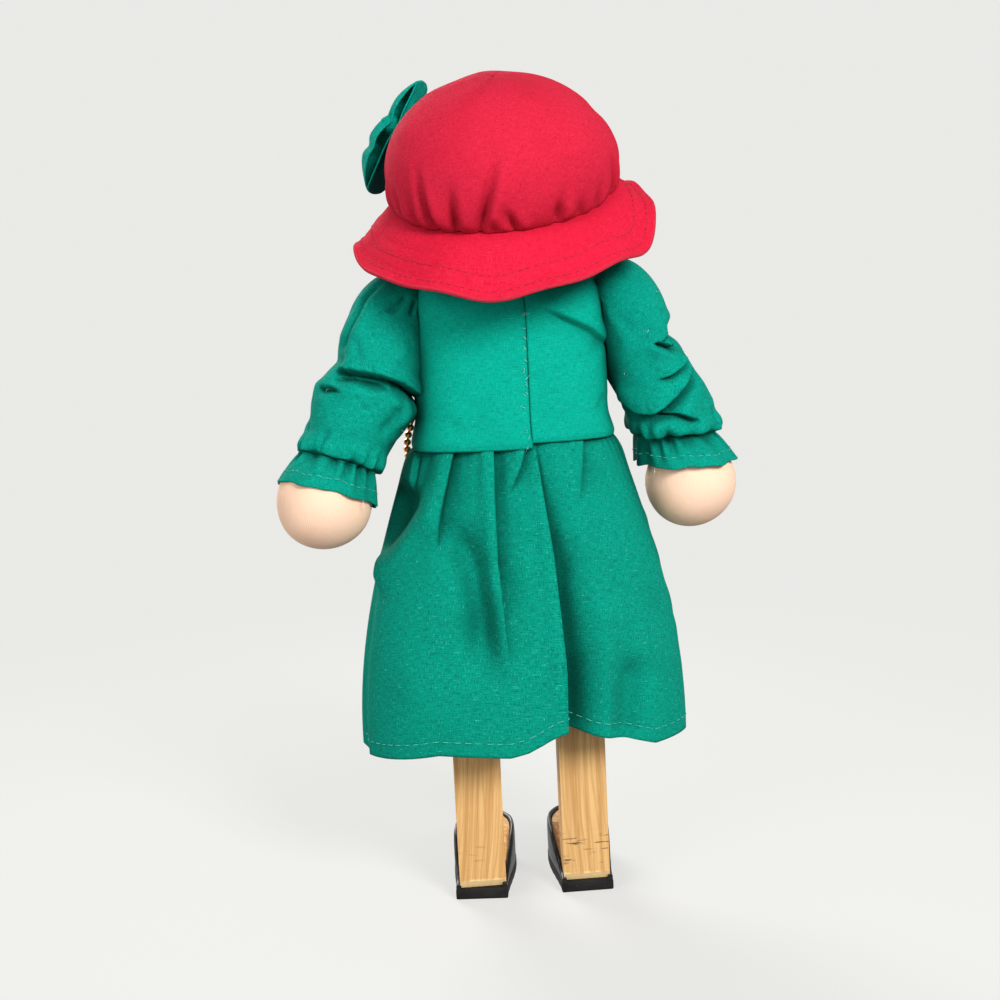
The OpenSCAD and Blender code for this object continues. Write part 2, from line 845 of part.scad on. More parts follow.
module bow_knot() {
    color(cotton_green)
        on_crown()
            translate([0, 0, clear])
                intersection() {
                    translate([0, 0, bow_knot_d / 2]) sphere(d = bow_knot_d);
                    translate([-bow_knot_d / 2, -bow_knot_d, 0])
                        cube([bow_knot_d, 2 * bow_knot_d, bow_knot_d]);
                }
}

// Smooth curve through the points of the swag
swag_steps = 6;
function knot_at(i) = swag_route[limit(i, 0, len(swag_route) - 1)];
function curve(i, t) =
    let (a = knot_at(i - 1), b = knot_at(i), c = knot_at(i + 1), d = knot_at(i + 2))
    0.5 * (2 * b + (c - a) * t + (2 * a - 5 * b + 4 * c - d) * t * t + (3 * b - a - 3 * c + d) * t * t * t);
swag = concat(
    [
        for (i = [0 : len(swag_route) - 2], k = [0 : swag_steps - 1]) curve(i, k / swag_steps)
    ],
    [swag_route[len(swag_route) - 1]]
);
function run(i) = i == 0 ? 0 : run(i - 1) + norm(swag[i] - swag[i - 1]);
swag_runs = [for (i = [0 : len(swag) - 1]) run(i)];
swag_len = swag_runs[len(swag) - 1];
run_to_step = [for (i = [0 : len(swag) - 1]) [swag_runs[i], i]];
function swag_at(s) =
    let (u = lookup(s, run_to_step), i = min(floor(u), len(swag) - 2))
    blend(swag[i], swag[i + 1], u - i);

module bead_string() {
    sides = 8;
    stride = 2;
    count = floor((len(swag) - 1) / stride);
    color("goldenrod")
        pod([
            for (n = [0 : count])
                let (
                    i = n * stride,
                    ahead = swag[min(i + 1, len(swag) - 1)] - swag[max(i - 1, 0)],
                    along = ahead / norm(ahead),
                    level = cross([0, 0, 1], along),
                    across = level / norm(level),
                    up = cross(along, across)
                )
                    [
                        for (j = [0 : sides - 1])
                            swag[i] + thread_d / 2 * (across * cos(360 * j / sides) + up * sin(360 * j / sides))
                    ]
        ]);
}

module beads() {
    pitch = bead_d + bead_gap;
    count = floor((swag_len - 2 * bead_d) / pitch);
    start = (swag_len - (count - 1) * pitch) / 2;
    color("peru")
        for (n = [0 : count - 1])
            translate(swag_at(start + n * pitch)) sphere(d = bead_d, $fn = 24);
}

leg();  // left_leg
on_right() leg();  // right_leg
foot(left_toe_in);  // left_foot
on_right() foot(right_toe_in);  // right_foot
sole(left_toe_in);  // left_sole
on_right() sole(right_toe_in);  // right_sole
shoe_upper(left_toe_in);  // left_shoe_upper
on_right() shoe_upper(right_toe_in);  // right_shoe_upper
body_block();
leg_screws();
neck_dowel();
neck_ring();
body_padding();
shoulder_elastic();
shoulder_knots();
shoulder_bead();  // left_shoulder_bead
on_right() shoulder_bead();  // right_shoulder_bead
bodice_front();
bodice_back_left();
bodice_back_right();
skirt();
arm_dowel(left_arm);  // left_arm_dowel
on_right() arm_dowel(right_arm);  // right_arm_dowel
hand(left_arm);  // left_hand
on_right() hand(right_arm);  // right_hand
sleeve(left_arm);  // left_sleeve
on_right() sleeve(right_arm);  // right_sleeve
cuff(left_arm);  // left_cuff
on_right() cuff(right_arm);  // right_cuff
wrist_elastic(left_arm);  // left_wrist_elastic
on_right() wrist_elastic(right_arm);  // right_wrist_elastic
head_ball();
hat_crown();
hat_filling();
hat_brim();
bow_upper_loop();
bow_lower_loop();
bow_knot();
bead_string();
beads();
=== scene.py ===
import math

import bpy
import numpy as np
from mathutils import Matrix, Vector


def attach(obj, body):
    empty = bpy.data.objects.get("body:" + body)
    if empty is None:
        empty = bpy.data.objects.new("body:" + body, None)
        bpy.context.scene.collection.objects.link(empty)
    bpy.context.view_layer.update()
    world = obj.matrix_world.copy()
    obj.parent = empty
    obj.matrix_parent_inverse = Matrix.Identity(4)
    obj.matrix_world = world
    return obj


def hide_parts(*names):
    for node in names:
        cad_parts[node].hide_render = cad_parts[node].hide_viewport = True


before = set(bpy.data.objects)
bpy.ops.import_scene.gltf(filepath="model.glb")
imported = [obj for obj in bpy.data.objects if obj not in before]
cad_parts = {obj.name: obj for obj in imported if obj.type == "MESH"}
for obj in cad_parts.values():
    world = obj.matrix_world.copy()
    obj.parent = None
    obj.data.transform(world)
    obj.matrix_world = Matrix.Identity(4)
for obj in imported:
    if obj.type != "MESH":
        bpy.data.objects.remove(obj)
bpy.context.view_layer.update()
MM = 0.001


# Numbers; lengths are in millimetres until a mesh is made

CURVE_SAMPLES = 160
CURVE_REACH = 6


def lerp(a, b, t):
    return a + (b - a) * t


def soft(t):
    """A smooth step from 0 to 1."""
    t = np.clip(t, 0.0, 1.0)
    return t * t * (3 - 2 * t)


def hill(d, width):
    """1 where d is 0, falling off on both sides."""
    return np.exp(-(d / width) ** 2)


def around(count):
    """Angles of the columns of a closed grid."""
    return np.linspace(0, 2 * math.pi, count, endpoint=False)[None, :]


def shares(count):
    """Shares of the rows of a grid, from 0 to 1."""
    return np.linspace(0, 1, count)[:, None]


def table(x, points):
    """Smooth curve through (x, value) pairs."""
    xs, ys = np.array(points, float).T
    fine = np.linspace(xs[0], xs[-1], CURVE_SAMPLES)
    rough = np.pad(np.interp(fine, xs, ys), CURVE_REACH, "edge")
    kernel = np.hanning(2 * CURVE_REACH + 1)
    return np.interp(x, fine, np.convolve(rough, kernel / kernel.sum(), "valid"))


def away(points, x, y):
    """Signed distance of each place from a line of points, and its share of the line's length."""
    pts = np.array(points, float)
    seg = np.linalg.norm(np.diff(pts, axis=0), axis=1)
    run = np.r_[0, np.cumsum(seg)]
    best = np.full(np.shape(x), 1e9)
    side = np.ones(np.shape(x))
    share = np.zeros(np.shape(x))
    for i, length in enumerate(seg):
        a, d = pts[i], pts[i + 1] - pts[i]
        t = np.clip(((x - a[0]) * d[0] + (y - a[1]) * d[1]) / length ** 2, 0, 1)
        dx, dy = x - a[0] - t * d[0], y - a[1] - t * d[1]
        gap = np.hypot(dx, dy)
        near = gap < best
        best = np.where(near, gap, best)
        side = np.where(near, np.where(d[0] * dy - d[1] * dx < 0, -1.0, 1.0), side)
        share = np.where(near, (run[i] + t * length) / run[-1], share)
    return best * side, share


def fade(share, start, end):
    """1 along the middle of a line, falling to 0 over its first and last parts."""
    first = soft(share / start) if start else 1.0
    last = soft((1 - share) / end) if end else 1.0
    return first * last


def groove(points, x, y, depth, width, ends):
    """A soft valley (depth below 0) or ridge along a line."""
    gap, share = away(points, x, y)
    return depth * hill(gap, width) * fade(share, *ends)


def grooved(out, lines, x, y):
    """Adds grooves given as (points, depth, width, ends)."""
    for points, depth, width, ends in lines:
        out = out + groove(points, x, y, depth, width, ends)
    return out


def tuck(points, x, y, depth, width, ends, sharp, turn):
    """A folded edge: level on one side of the line, a sharp drop that recovers on the other."""
    gap, share = away(points, x, y)
    gap = gap * turn
    drop = soft((gap + sharp * 0.5) / sharp) * np.exp(-np.maximum(gap, 0) / width)
    lip = 0.4 * hill(gap + 1.8, 3.0)
    return depth * (lip - drop) * fade(share, *ends)


def crumple(x, y, seed, count, span, length, width, depth):
    """Small random wrinkles over a patch span = (x0, x1, y0, y1)."""
    rng = np.random.default_rng(seed)
    out = np.zeros(np.shape(x))
    for _ in range(count):
        cx, cy = rng.uniform(span[0], span[1]), rng.uniform(span[2], span[3])
        a = rng.uniform(0, math.pi)
        half = length * rng.uniform(0.5, 1.2) / 2
        bend = rng.uniform(-0.3, 0.3) * half
        dx, dy = math.cos(a), math.sin(a)
        line = [
            (cx - dx * half, cy - dy * half),
            (cx - dy * bend, cy + dx * bend),
            (cx + dx * half, cy + dy * half),
        ]
        out = out + groove(line, x, y, depth * rng.uniform(-1, 1), width * rng.uniform(0.6, 1.4), (0.45, 0.45))
    return out


# Meshes

def normals_of(p, wrap):
    """Outward normals of a grid of points, rows along axis 0."""
    down = np.gradient(p, axis=0)
    if wrap:
        round_ = (np.roll(p, -1, axis=1) - np.roll(p, 1, axis=1)) / 2
    else:
        round_ = np.gradient(p, axis=1)
    n = np.cross(down, round_)
    size = np.linalg.norm(n, axis=2, keepdims=True)
    return n / np.maximum(size, 1e-9)


def raw_mesh(name, verts, faces, uvs, material):
    """A smooth object from points in millimetres."""
    mesh = bpy.data.meshes.new(name)
    mesh.from_pydata((np.asarray(verts) * MM).tolist(), [], [list(map(int, f)) for f in faces])
    layer = mesh.uv_layers.new(name="UVMap")
    loops = np.empty(len(mesh.loops), int)
    mesh.loops.foreach_get("vertex_index", loops)
    layer.data.foreach_set("uv", np.asarray(uvs, float)[loops].ravel())
    mesh.polygons.foreach_set("use_smooth", np.ones(len(mesh.polygons), bool))
    mesh.materials.append(material)
    mesh.update()
    obj = bpy.data.objects.new(name, mesh)
    bpy.context.scene.collection.objects.link(obj)
    return obj


def quads(rows, cols, wrap, first=0):
    """Corner numbers of the faces of a grid."""
    i, j = np.meshgrid(np.arange(rows - 1), np.arange(cols if wrap else cols - 1), indexing="ij")
    k = (j + 1) % cols
    a, b, c, d = i * cols + j, i * cols + k, (i + 1) * cols + k, (i + 1) * cols + j
    return np.stack([a, d, c, b], -1).reshape(-1, 4) + first


def caps(rows, cols, first=0):
    """The faces that close both ends of a round grid."""
    last = first + (rows - 1) * cols
    return [range(first, first + cols), range(last + cols - 1, last - 1, -1)]


def closed(points):
    return np.r_[points, points[:1]]


def length_along(points):
    return np.r_[0, np.cumsum(np.linalg.norm(np.diff(points, axis=0), axis=1))]


def surface(name, p, uv, material):
    """One layer of faces over a round grid."""
    rows, cols = p.shape[:2]
    return raw_mesh(name, p.reshape(-1, 3), quads(rows, cols, True), uv.reshape(-1, 2), material)


def cloth(name, p, uv, material, wrap, thick):
    """Two layers of cloth over a grid, closed round its open edges. p is the outer face."""
    rows, cols = p.shape[:2]
    n = normals_of(p, wrap)
    size = rows * cols
    verts = np.concatenate([p.reshape(-1, 3), (p - n * thick).reshape(-1, 3)])
    outer = quads(rows, cols, wrap)
    inner = quads(rows, cols, wrap, size)[:, ::-1]
    js = np.arange(cols if wrap else cols - 1)
    ks = (js + 1) % cols
    last = (rows - 1) * cols
    edges = [(js, ks), (last + ks, last + js)]
    if not wrap:
        i = np.arange(rows - 1) * cols
        e = i + cols - 1
        edges += [(i + cols, i), (e, e + cols)]
    rims = [np.stack([a, b, b + size, a + size], -1) for a, b in edges]
    faces = np.concatenate([outer, inner] + rims)
    uvs = np.concatenate([uv.reshape(-1, 2)] * 2)
    return raw_mesh(name, verts, faces, uvs, material)


THREAD_TIP = 0.45
STEEP = 0.8


def tubes(name, lines, radius, material, sides=6):
    """Threads along lists of points, thinner at their tips."""
    verts, faces, uvs = [], [], []
    ring = around(sides)[0]
    for line in lines:
        line = np.asarray(line, float)
        count = len(line)
        ahead = np.gradient(line, axis=0)
        ahead /= np.linalg.norm(ahead, axis=1, keepdims=True) + 1e-9
        ref = np.array([0.3, 0.2, 0.93]) if abs(ahead[0][2]) < STEEP else np.array([0.9, 0.3, 0.1])
        across = np.cross(ahead, ref)
        across /= np.linalg.norm(across, axis=1, keepdims=True)
        up = np.cross(ahead, across)
        first = len(verts)
        for k in range(count):
            end = THREAD_TIP if k in (0, count - 1) else 1.0
            for a in ring:
                verts.append(line[k] + radius * end * (across[k] * math.cos(a) + up[k] * math.sin(a)))
                uvs.append((a, k))
        faces += [*quads(count, sides, True, first)[:, ::-1], *caps(count, sides, first)]
    return raw_mesh(name, verts, faces, uvs, material)


def stitch_row(points, normals, pitch, length, lift, seed):
    """Lines for a row of stitches along points on cloth."""
    rng = np.random.default_rng(seed)
    run = length_along(points)
    bow = np.array([-0.5, 0.7, 1.0, 0.7, -0.5]) * lift
    lines = []
    at = pitch * 0.5
    while at + length < run[-1]:
        size = length * rng.uniform(0.8, 1.1)
        s = np.linspace(at, at + size, len(bow))
        pts = np.stack([np.interp(s, run, points[:, k]) for k in range(3)], -1)
        nor = np.stack([np.interp(s, run, normals[:, k]) for k in range(3)], -1)
        lines.append(pts + nor * bow[:, None])
        at += pitch * rng.uniform(0.9, 1.1)
    return lines


def directions(rings, cols, tip):
    """Angles down and around a ball, and the directions there. tip is the angle of its flat ends."""
    th, ph = np.linspace(tip, math.pi - tip, rings)[:, None], around(cols)
    return th, ph, np.stack([np.sin(th) * np.cos(ph), np.sin(th) * np.sin(ph), np.cos(th) + 0 * ph], -1)


def ball(name, centre, radius, material, rings, cols, shape=None):
    """A round ball; shape(directions) gives a small change of radius in millimetres."""
    th, ph, d = directions(rings, cols, 0.02)
    r = radius + (shape(d) if shape else 0.0)
    p = np.array(centre) + d * np.broadcast_to(np.asarray(r, float), d.shape[:2])[..., None]
    uv = np.stack([ph * radius + 0 * th, -th * radius + 0 * ph], -1)
    faces = [*quads(rings, cols, True), *caps(rings, cols)]
    return raw_mesh(name, p.reshape(-1, 3), faces, uv.reshape(-1, 2), material)


# Materials; cloth is measured in millimetres by its UVs, wood and paint in metres

THREAD_PITCH = 0.7
RING_PITCH = 0.0027
KNIT_RIBS = 9.0


def add(tree, kind, props=None, **inputs):
    """A node. Inputs go by their label, or as i0, i1 and so on by their place."""
    n = tree.nodes.new(kind)
    for key, value in (props or {}).items():
        setattr(n, key, value)
    for key, value in inputs.items():
        sock = n.inputs[int(key[1:])] if key[0] == "i" and key[1:].isdigit() else n.inputs[key.replace("_", " ")]
        if isinstance(value, bpy.types.NodeSocket):
            tree.links.new(value, sock)
        else:
            sock.default_value = value
    return n


def rgb(r, g, b):
    """Linear colour for an sRGB colour of 0 to 255."""
    def lin(v):
        v /= 255
        return v / 12.92 if v <= 0.04045 else ((v + 0.055) / 1.055) ** 2.4
    return (lin(r), lin(g), lin(b), 1.0)


def op(tree, kind, a, b=0.0, c=0.0):
    return add(tree, "ShaderNodeMath", {"operation": kind}, i0=a, i1=b, i2=c).outputs[0]


def times(tree, a, b):
    return op(tree, "MULTIPLY", a, b)


def plus(tree, a, b):
    return op(tree, "ADD", a, b)


def sine(tree, value, rate, shift):
    return op(tree, "SINE", op(tree, "MULTIPLY_ADD", value, rate, shift))


def mix(tree, share, a, b):
    return add(tree, "ShaderNodeMix", {"data_type": "RGBA"}, i0=share, i6=a, i7=b).outputs[2]


def step(tree, value, low, high):
    return add(tree, "ShaderNodeMapRange", {"interpolation_type": "SMOOTHSTEP"},
               i0=value, i1=low, i2=high, i3=0.0, i4=1.0).outputs[0]


def tint(tree, tone, colour, value, low, high, share):
    """A tone turned towards a colour, by a share, where a value goes from low to high."""
    return mix(tree, times(tree, step(tree, value, low, high), share), tone, colour)


def noise(tree, vector, scale, detail=2.0, rough=0.5):
    return add(tree, "ShaderNodeTexNoise", Vector=vector, Scale=scale, Detail=detail, Roughness=rough).outputs[0]


def streaks(tree, vector, size, detail=2.0, rough=0.5):
    """Noise with its own scale along each axis."""
    longer = add(tree, "ShaderNodeVectorMath", {"operation": "MULTIPLY"}, i0=vector, i1=size).outputs[0]
    return noise(tree, longer, 1.0, detail, rough)


def split(tree, vector):
    return add(tree, "ShaderNodeSeparateXYZ", i0=vector).outputs


def cloth_place(tree):
    return add(tree, "ShaderNodeUVMap", {"uv_map": "UVMap"}).outputs[0]


def solid_place(tree):
    return add(tree, "ShaderNodeTexCoord").outputs["Object"]


def bump(tree, strength, distance, height):
    return add(tree, "ShaderNodeBump", Strength=strength, Distance=distance, Height=height).outputs[0]


def begin(name):
    m = bpy.data.materials.new(name)
    m.use_nodes = True
    m.node_tree.nodes.clear()
    return m, m.node_tree


def end(tree, **inputs):
    shader = add(tree, "ShaderNodeBsdfPrincipled", **inputs)
    add(tree, "ShaderNodeOutputMaterial", i0=shader.outputs[0])


def cotton(name, dark, mid, pale, speck=0.5, wear=0.0, shade=0.75, reach=0.016):
    """Woven cotton: a fine twill, grain, a few thick slubs, pale flecks, and painted shade that darkens its deep
    folds and creases by ambient occlusion. UVs are in millimetres.
    """
    m, t = begin(name)
    uv = cloth_place(t)
    u, v = split(t, uv)[:2]
    k = 2 * math.pi / THREAD_PITCH
    wobble = times(t, streaks(t, uv, (0.25, 0.25, 1)), 3.0)
    weave = times(t, sine(t, u, k, wobble), sine(t, v, k, wobble))
    twill = sine(t, plus(t, u, v), k * 0.7, wobble)
    slub_u = streaks(t, uv, (0.36, 3.0, 1), 2.0, 0.6)
    slub_v = streaks(t, uv, (3.0, 0.52, 1), 2.0, 0.6)
    slub = plus(t, times(t, slub_u, 0.5), times(t, slub_v, 0.5))
    broad = streaks(t, uv, (0.035, 0.035, 1), 3.0)
    grain = streaks(t, uv, (1.5, 1.5, 1), 3.0, 0.7)
    tone = mix(t, step(t, slub, 0.31, 0.58), dark, mid)
    tone = tint(t, tone, dark, grain, 0.5, 0.25, 0.25)
    tone = tint(t, tone, dark, broad, 0.45, 0.75, 0.35)
    tone = tint(t, tone, dark, twill, 0.2, -0.9, 0.25)
    tone = tint(t, tone, pale, op(t, "MAXIMUM", slub_u, slub_v), 0.64, 0.8, speck)
    if wear:
        tone = tint(t, tone, pale, streaks(t, uv, (0.12, 0.12, 1), 5.0, 0.7), 0.62, 0.8, wear)
    # Painted shade: where ambient occlusion within reach finds a crease or recess, the tone turns towards a darker
    # copy of the dark colour, by the share shade.
    crease_shade_mask = add(t, "ShaderNodeAmbientOcclusion", {"samples": 6}, Distance=reach).outputs["AO"]
    deep = tuple(c * 0.4 for c in dark[:3]) + (1.0,)
    tone = tint(t, tone, deep, crease_shade_mask, 0.98, 0.42, shade)
    height = plus(t, times(t, weave, 0.3), plus(t, slub, grain))
    end(t, Base_Color=tone, Roughness=0.95, Normal=bump(t, 0.6, 0.00025, height), Specular_IOR_Level=0.04)
    return m


def wood(name, dark, mid, pale, tilt=0.0, scuffs=0.0):
    """Bare softwood with long grain up the piece; scuffs adds marks and a torn edge near the floor."""
    m, t = begin(name)
    at = solid_place(t)
    leant = add(t, "ShaderNodeMapping", Vector=at, Rotation=(0.0, tilt, 0.0)).outputs[0]
    grain = add(t, "ShaderNodeVectorMath", {"operation": "MULTIPLY_ADD"}, i0=(0.004, 0.004, 0.0),
                i1=streaks(t, leant, (30, 30, 9)), i2=leant).outputs[0]
    broad = streaks(t, grain, (520, 520, 9), 3.0, 0.6)
    fine = streaks(t, grain, (2600, 2600, 42), 3.0, 0.6)
    pores = streaks(t, grain, (3600, 3600, 160))
    across = split(t, grain)
    wide = plus(t, across[0], times(t, across[1], 0.6))
    rings = sine(t, wide, 2 * math.pi / RING_PITCH, times(t, streaks(t, leant, (60, 60, 16)), 22.0))
    tone = mix(t, step(t, broad, 0.32, 0.68), dark, mid)
    tone = tint(t, tone, pale, fine, 0.5, 0.75, 0.55)
    tone = tint(t, tone, dark, pores, 0.62, 0.74, 0.5)
    tone = tint(t, tone, dark, rings, 0.45, 0.98, 0.5)
    if scuffs:
        high = split(t, at)[2]
        marks = streaks(t, at, (120, 120, 1100), 3.0, 0.6)
        near = times(t, op(t, "SUBTRACT", 1.0, step(t, high, 0.017, 0.024)), step(t, high, 0.008, 0.013))
        tone = tint(t, tone, rgb(78, 54, 34), marks, 0.58, 0.64, times(t, near, scuffs))
        torn = op(t, "MULTIPLY_ADD", streaks(t, at, (420, 420, 200), 3.0), 0.003, high)
        tone = tint(t, tone, rgb(236, 206, 150), torn, 0.0088, 0.0078, 0.75)
    height = plus(t, fine, times(t, broad, 0.6))
    end(t, Base_Color=tone, Roughness=0.62, Normal=bump(t, 0.4, 0.0002, height), Specular_IOR_Level=0.3)
    return m


def paint(name, base, worn, rough, chipped):
    """Brushed black paint with small worn places."""
    m, t = begin(name)
    at = solid_place(t)
    brush = streaks(t, at, (300, 90, 900), 3.0)
    chips = noise(t, at, 420.0, 5.0, 0.7)
    tone = mix(t, step(t, brush, 0.3, 0.8), base, rgb(26, 24, 23))
    tone = tint(t, tone, worn, chips, 0.63, 0.7, chipped)
    relief = bump(t, 0.35, 0.0003, plus(t, brush, times(t, chips, 0.5)))
    end(t, Base_Color=tone, Roughness=op(t, "MULTIPLY_ADD", brush, 0.25, rough), Normal=relief,
        Specular_IOR_Level=0.25)
    return m


def knit(name, base, shade, blush=()):
    """Fine stretched knit, with ribs that run over a stuffed ball. blush lists spots of colour."""
    m, t = begin(name)
    at = solid_place(t)
    u, v = split(t, cloth_place(t))[:2]
    rib = sine(t, u, KNIT_RIBS, times(t, noise(t, at, 160.0), 5.0))
    row = op(t, "SINE", times(t, v, KNIT_RIBS * 1.4))
    loops = op(t, "MULTIPLY_ADD", times(t, rib, row), 0.35, times(t, rib, 0.65))
    fluff = noise(t, at, 1500.0)
    tone = tint(t, base, shade, noise(t, at, 90.0, 3.0), 0.4, 0.75, 0.5)
    tone = tint(t, tone, shade, loops, 0.1, 0.9, 0.22)
    tone = tint(t, tone, rgb(176, 138, 108), fluff, 0.72, 0.8, 0.4)
    for spot, size, colour, strength in blush:
        far = add(t, "ShaderNodeVectorMath", {"operation": "DISTANCE"}, i0=at, i1=spot).outputs["Value"]
        close = op(t, "SUBTRACT", 1.0, step(t, far, size * 0.25, size))
        tone = mix(t, times(t, close, strength), tone, colour)
    relief = bump(t, 0.35, 0.00015, plus(t, loops, times(t, fluff, 0.6)))
    end(t, Base_Color=tone, Roughness=0.92, Normal=relief, Specular_IOR_Level=0.04)
    return m


def simple(name, base, other, scale, rough, metal=0.0, relief=0.0001):
    """A finish that varies between two colours."""
    m, t = begin(name)
    cloud = noise(t, solid_place(t), scale, 4.0, 0.6)
    tone = mix(t, step(t, cloud, 0.4, 0.7), base, other)
    end(t, Base_Color=tone, Roughness=op(t, "MULTIPLY_ADD", cloud, 0.2, rough), Metallic=metal,
        Normal=bump(t, 0.3, relief, cloud))
    return m


mat_bodice = cotton("bodice_cotton", rgb(2, 131, 110), rgb(3, 165, 142), rgb(84, 204, 184), speck=0.4)
mat_sleeve = cotton("sleeve_cotton", rgb(2, 107, 91), rgb(3, 150, 129), rgb(82, 198, 180), speck=0.45)
# The skirt is the bodice's cloth. Its darker tones are painted shade, and it gets more painted crease shade (0.85)
# over a wider reach (0.02).
mat_skirt = cotton("skirt_cotton", rgb(2, 104, 86), rgb(3, 146, 124), rgb(92, 202, 184), 0.7, 0.0, 0.85, 0.02)
mat_bow = cotton("bow_cotton", rgb(2, 114, 100), rgb(4, 148, 130), rgb(80, 188, 172), shade=0.1)
mat_crown = cotton("crown_cotton", rgb(174, 23, 45), rgb(201, 36, 62), rgb(220, 94, 112), 0.3, 0.14, 0.35)
mat_brim = cotton("brim_cotton", rgb(184, 20, 45), rgb(208, 31, 60), rgb(222, 92, 110), 0.3, shade=0.12)
mat_brim_edge = cotton("brim_edge_cotton", rgb(176, 28, 48), rgb(204, 50, 70), rgb(224, 120, 126), 0.5, shade=0.2)
mat_thread_green = simple("thread_green", rgb(70, 176, 158), rgb(24, 146, 126), 900.0, 0.8)
mat_thread_red = simple("thread_red", rgb(176, 18, 44), rgb(140, 8, 28), 900.0, 0.8)
mat_thread_white = simple("thread_white", rgb(220, 226, 220), rgb(170, 190, 186), 900.0, 0.7)
mat_lint = simple("lint", rgb(150, 212, 198), rgb(104, 188, 172), 900.0, 0.8)
mat_leg_left = wood("leg_wood_left", rgb(184, 134, 76), rgb(214, 170, 109), rgb(226, 186, 126), 0.10, 0.25)
mat_leg_right = wood("leg_wood_right", rgb(186, 138, 80), rgb(214, 171, 111), rgb(226, 187, 128), 0.0, 1.0)
mat_foot = wood("foot_wood", rgb(186, 132, 72), rgb(222, 176, 112), rgb(240, 205, 150))
mat_plain_wood = wood("inner_wood", rgb(190, 150, 96), rgb(226, 190, 136), rgb(240, 212, 166))
mat_sole = paint("sole_paint", rgb(8, 7, 7), rgb(66, 50, 40), 0.6, 0.7)
mat_shoe = paint("shoe_paint", rgb(12, 11, 11), rgb(56, 46, 40), 0.26, 0.6)
mat_hand = knit("hand_knit", rgb(240, 202, 175), rgb(230, 188, 158))
mat_wadding = simple("wadding", rgb(236, 232, 220), rgb(214, 208, 194), 300.0, 0.9, relief=0.0006)
mat_elastic = simple("elastic", rgb(228, 226, 218), rgb(196, 194, 186), 1200.0, 0.7)
mat_steel = simple("screw_steel", rgb(150, 150, 152), rgb(110, 110, 112), 500.0, 0.3, 1.0)
mat_gold = simple("bead_gold", rgb(226, 150, 92), rgb(176, 102, 56), 500.0, 0.2, 1.0)
mat_bead_thread = simple("bead_thread", rgb(150, 96, 48), rgb(110, 66, 30), 900.0, 0.6)


# CAD pieces that keep their own shape

for slot, material, names in (
    ("leg_wood", mat_leg_left, ("left_leg",)),
    ("leg_wood", mat_leg_right, ("right_leg",)),
    ("leg_wood", mat_foot, ("left_foot", "right_foot")),
    ("hidden_wood", mat_plain_wood, ("body_block", "neck_dowel", "neck_ring", "left_shoulder_bead",
                                     "right_shoulder_bead", "left_arm_dowel", "right_arm_dowel")),
    ("screw_steel", mat_steel, ("leg_screws",)),
    ("elastic", mat_elastic, ("shoulder_elastic", "shoulder_knots", "left_wrist_elastic", "right_wrist_elastic")),
):
    for name in names:
        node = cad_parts[name]
        node.data.materials.clear()
        node.data.materials.append(material)


def place(obj, body, slot, *nodes):
    """Sets a piece on its body and hides the CAD solids that it stands for. Its finish, slot, is not used."""
    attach(obj, body)
    if nodes:
        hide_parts(*nodes)
    return obj


# Skirt; pleats and grooves are (points in x and z, depth, width, soft shares at both ends)

WAIST_Z = 162.0
PLEAT_SHARP = 1.2
SEAM = [(-5.6, 165), (-7.5, 146), (-9.4, 127), (-10.6, 105), (-11.3, 87), (-10.8, 66), (-10.6, 55)]


def skirt_base(a, t):
    """Distance to the left, half width and half depth of the smooth skirt."""
    bell = np.sin(t * math.pi / 2)
    half_w, half_d = lerp(35.0, 58.0, bell), lerp(22.5, 31.5, bell)
    return half_w * np.cos(a), half_w, half_d


def hem_height(x, back):
    """Height of the hem, level in front and uneven behind."""
    behind = np.interp(x, [-58, -43, -33, -21, -11.8, -11, -10.2, -3, 2, 8, 20, 32, 50, 60],
                       [58.5, 58, 61.6, 64, 67, 67, 66.8, 63, 60.6, 59.2, 59.8, 60.4, 57.5, 56.2])
    return lerp(58.5, behind, back)


PLEATS = [
    ([(32.4, 166), (35.1, 153), (38.6, 142)], 3.6, 3.6, (0.0, 0.5)),
    ([(20.6, 166), (23.7, 154.4), (27.7, 137), (28.8, 128)], 5.6, 5.5, (0.0, 0.3)),
    ([(8.5, 166), (9.1, 147), (9.3, 125), (7.6, 103), (5.6, 82)], 4.2, 11.0, (0.0, 0.45)),
    ([(-3.4, 166), (0, 155.3), (5.3, 144)], 3.2, 5.0, (0.0, 0.5)),
    ([(-22.4, 167), (-20.6, 152), (-19.6, 140)], 2.6, 4.0, (0.0, 0.5)),
]
FRONT_PLEATS = [
    ([(-27, 166), (-30, 150), (-34, 132)], 3.0, 4.5, (0.0, 0.5)),
    ([(-15.5, 166), (-17, 148), (-21, 122)], 3.6, 5.5, (0.0, 0.5)),
    ([(-5, 166), (-5.5, 150), (-5, 134)], 2.6, 4.5, (0.0, 0.5)),
    ([(7, 166), (8, 146), (8.5, 116)], 3.4, 5.5, (0.0, 0.5)),
    ([(17.5, 166), (20, 150), (22, 136)], 2.8, 4.5, (0.0, 0.5)),
    ([(27.5, 166), (31, 148), (36, 128)], 3.4, 4.5, (0.0, 0.5)),
]
SKIRT_GROOVES = [
    ([(23.7, 155), (35.1, 136), (43.1, 126.4), (54, 116)], 3.6, 5.5, (0.3, 0.15)),
    ([(34, 152), (43, 138), (51, 128)], -6.0, 5.5, (0.3, 0.2)),
    ([(25.3, 140), (17.4, 122), (15.1, 110), (15.9, 95.6), (19, 80)], -6.5, 6.0, (0.2, 0.4)),
    ([(13, 126), (9, 106), (9, 84)], 2.8, 4.0, (0.3, 0.4)),
    ([(-37, 92), (-32.9, 66)], -5.0, 6.0, (0.4, 0.0)),
    ([(36, 100), (39, 76), (42, 56)], 1.8, 9.0, (0.4, 0.0)),
    ([(-26, 116), (-25, 84), (-24, 56)], 1.6, 6.0, (0.4, 0.0)),
]


